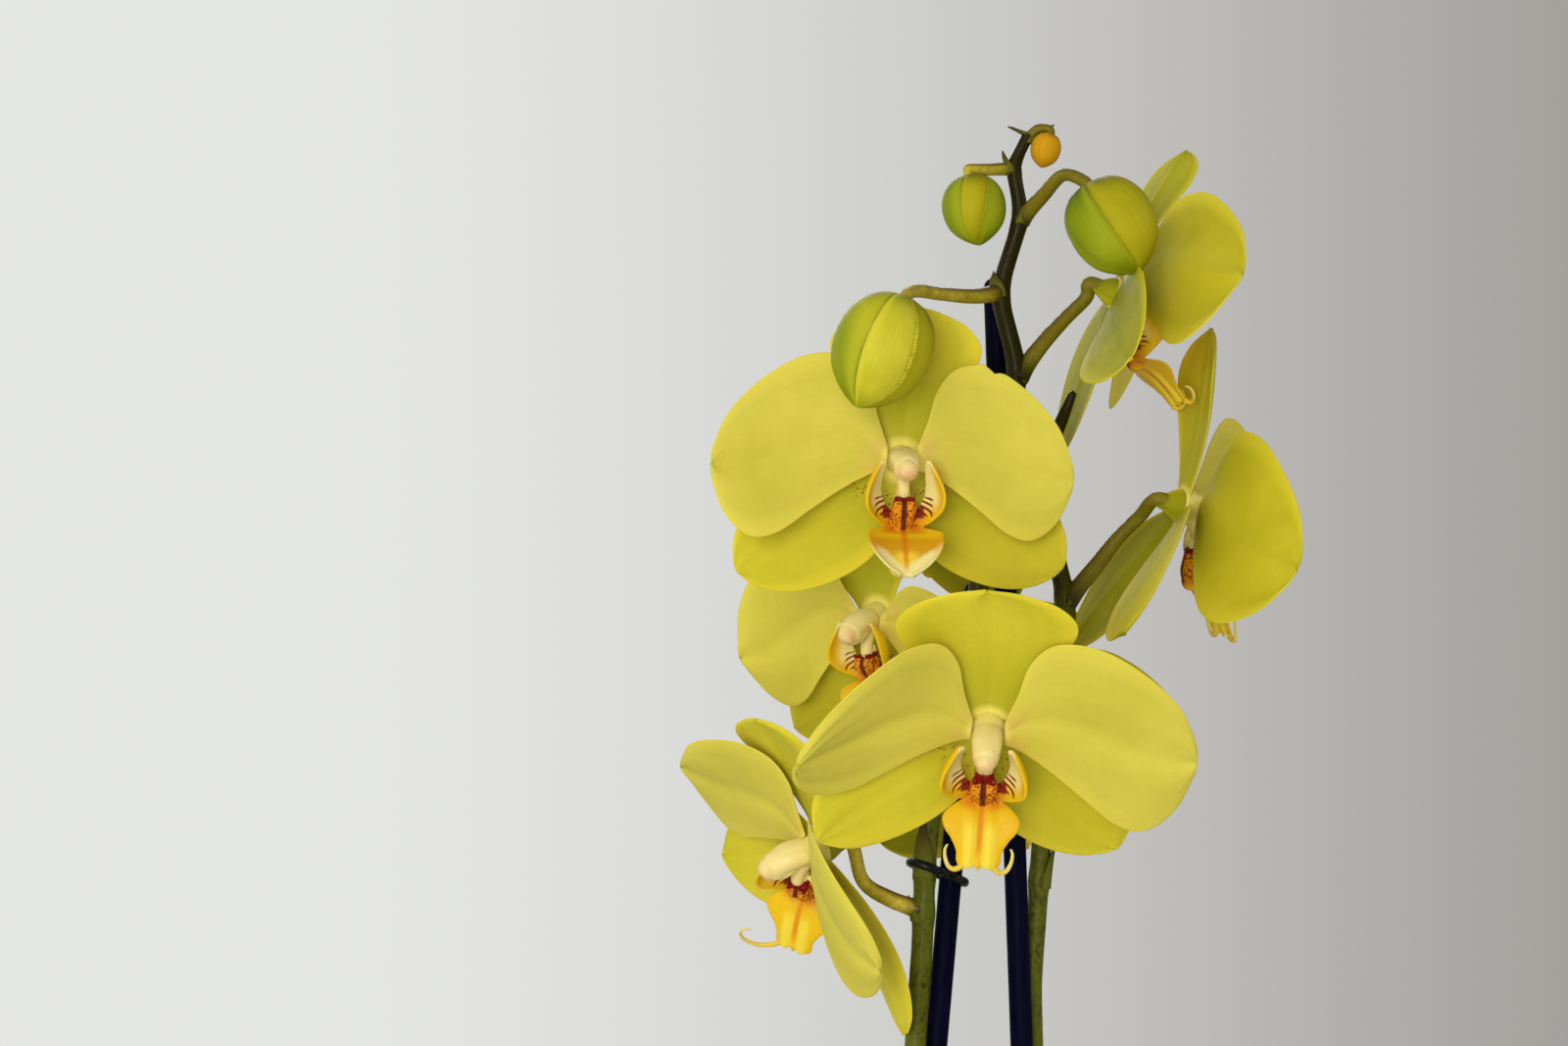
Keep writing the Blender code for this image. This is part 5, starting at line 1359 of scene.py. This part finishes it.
def callus(cupped):
    """Two waxy humps side by side, each with a blunt tooth that leans forward."""
    hump = [(1.25, -4.8, -9.4, 1.0), (1.5, -6.2, -10.6, 1.45), (1.4, -6.4, -12.2, 1.35),
            (1.0, -5.4, -14.2, 0.9)]
    tooth = [(1.6, -6.0, -10.0, 0.8), (1.9, -7.2, -9.4, 0.6), (2.0, -7.9, -8.6, 0.3)]
    humps = []
    for side in (-1, 1):
        humps.append(smooth_tube(np.array(hump) * (side, 1, 1, 1), 14, 14))
        humps.append(smooth_tube(np.array(tooth) * (side, 1, 1, 1), 8, 10))
    if cupped:
        return humps
    tip = [(0.0, -10.6, -26.2, 0.6), (0.0, -11.3, -27.6, 0.75), (0.1, -11.6, -28.6, 0.35)]
    humps.append(smooth_tube(tip, 8, 10))
    return humps


def lip_mesh(name, cupped):
    shapes = [smooth_tube(CLAW, 16, 18), side_lobe(-1), side_lobe(1)]
    shapes += [middle_lobe(cupped), *callus(cupped)]
    return grown_together(name, shapes, 0.24, 3)


tendril_skin, tree, shader = finish("tendril skin", Specular_IOR_Level=0.2)
lines = veined(tree, 2.0, 0.1, 0.3)
tone = paint(tree, (0.84, 0.55, 0.03), (0.84, 0.70, 0.20), fade(tree, lines["Along"], 0.1, 0.6))
tone = paint(tree, tone, (0.76, 0.58, 0.07), mottled(tree, 3.0), 0.4)
feed(tree, shader, Base_Color=tone, Roughness=fade(tree, mottled(tree, 0.8), -1.2, 2.6))
TENDRILS = {
    "flower_1": [(3.4, 11.0, -28.0), (5.6, 12.0, -29.2), (8.6, 13.6, -29.0), (11.0, 15.0, -26.8),
                 (11.8, 15.6, -23.8), (10.6, 15.4, -21.6), (9.2, 15.0, -21.4)],
    "plain": [(3.4, 11.2, -28.2), (4.8, 11.6, -29.0), (6.2, 11.4, -28.6), (7.1, 11.0, -26.8),
              (7.3, 10.6, -24.8), (6.9, 10.3, -23.8)],
    "flower_4": [(1.2, 12.6, -26.2), (1.8, 11.4, -26.8), (2.6, 10.0, -26.4), (3.2, 9.0, -25.0),
                 (3.2, 8.6, -23.6), (2.8, 8.6, -22.8)],
    "flower_5": [(4.0, 11.2, -28.0), (3.8, 12.6, -28.9), (3.2, 14.0, -28.4), (2.8, 14.6, -26.8),
                 (2.4, 14.2, -25.2), (2.0, 13.4, -24.6)],
}
hinge = Vector((0.0, -4.0, -6.5)) * MM  # where the lip joins the column's foot
lip_kinds = [(lip_mesh("lip", False), lip_skin("lip skin", False)),
             (lip_mesh("lip_cupped", True), lip_skin("cupped lip skin", True))]
for name, flower in FLOWERS.items():
    swing = Matrix.Rotation(radians(flower["lip_drop"]), 4, "X")
    swing = Matrix.Rotation(radians(flower.get("lip_turn", 0)), 4, "Z") @ swing
    place = flower_place(flower) @ Matrix.Scale(flower["size"], 4)
    place = place @ Matrix.Translation(hinge) @ swing @ Matrix.Translation(-hinge)
    mesh, skin = lip_kinds[name == "flower_4"]
    show(name + "_lip_lobes", mesh.copy(), [skin], [name + "_lip"], place)
    threads = []
    for side in ((-1,) if name == "flower_1" else (-1, 1)):
        route = np.array(TENDRILS.get(name, TENDRILS["plain"])) * (side, -1, 1)
        radii = np.linspace(0.70, 0.24, len(route))
        threads.append(smooth_tube(np.column_stack([route, radii]), 40, 10))
    show(name + "_lip_tendrils", mesh_of(name + "_lip_tendrils", threads), [tendril_skin],
         place=place)

# ------------------------------------------------------------------ floor, light and camera
# A plain pale floor; a broad soft key and a low fill in front, a little to the left; softer
# lights behind and at the right; and a room whose walls are paler on the left.
FLOOR_RADIUS, FLOOR_SIDES = 2.6, 96
turns = [tau * k / FLOOR_SIDES for k in range(FLOOR_SIDES)]
rim = [(FLOOR_RADIUS * cos(turn), FLOOR_RADIUS * sin(turn), 0.0) for turn in turns]
floor_mesh = bpy.data.meshes.new("floor")
floor_mesh.from_pydata(rim, [], [tuple(range(FLOOR_SIDES))])
pale = finish("pale floor", Roughness=0.8, Base_Color=(0.62, 0.62, 0.61, 1.0))[0]
floor_mesh.materials.append(pale)
put("floor", floor_mesh)

bpy.context.scene.view_settings.view_transform = "Standard"
room = bpy.data.worlds.new("room")
room.use_nodes = True
tree = room.node_tree
sideways, behind, _ = axes_of(tree, place_in(tree, "Generated"))
off_window = math(tree, "SUBTRACT", sideways, math(tree, "MULTIPLY", behind, 0.25))
walls = paint(tree, (0.79, 0.80, 0.78), (0.32, 0.30, 0.285), fade(tree, off_window, -0.40, 0.06))
tree.links.new(walls, tree.nodes["Background"].inputs["Color"])
bpy.context.scene.world = room
MIDDLE = Vector((0.0, 0.0, 0.50))  # where every lamp points
for name, spot, size, power in (
    ("key", (-0.45, -1.85, 0.72), 0.9, 16.5),
    ("low fill", (-0.25, -1.7, 0.12), 0.9, 6.0),
    ("back", (-0.3, 1.7, 1.3), 1.0, 9.0),
    ("side", (1.8, -0.1, 1.1), 1.0, 4.5),
):
    lamp = bpy.data.lights.new(name, "AREA")
    lamp.size = size
    lamp.energy = power
    holder = put(name, lamp)
    holder.location = spot
    holder.rotation_euler = (MIDDLE - Vector(spot)).to_track_quat("-Z", "Y").to_euler()

lens = bpy.data.cameras.new("camera")
lens.lens = 85
lens.sensor_width = 36
camera = put("camera", lens)
camera.location = (-0.050, -0.944, 0.520)
camera.rotation_euler = (radians(90), 0, 0)
bpy.context.scene.camera = camera
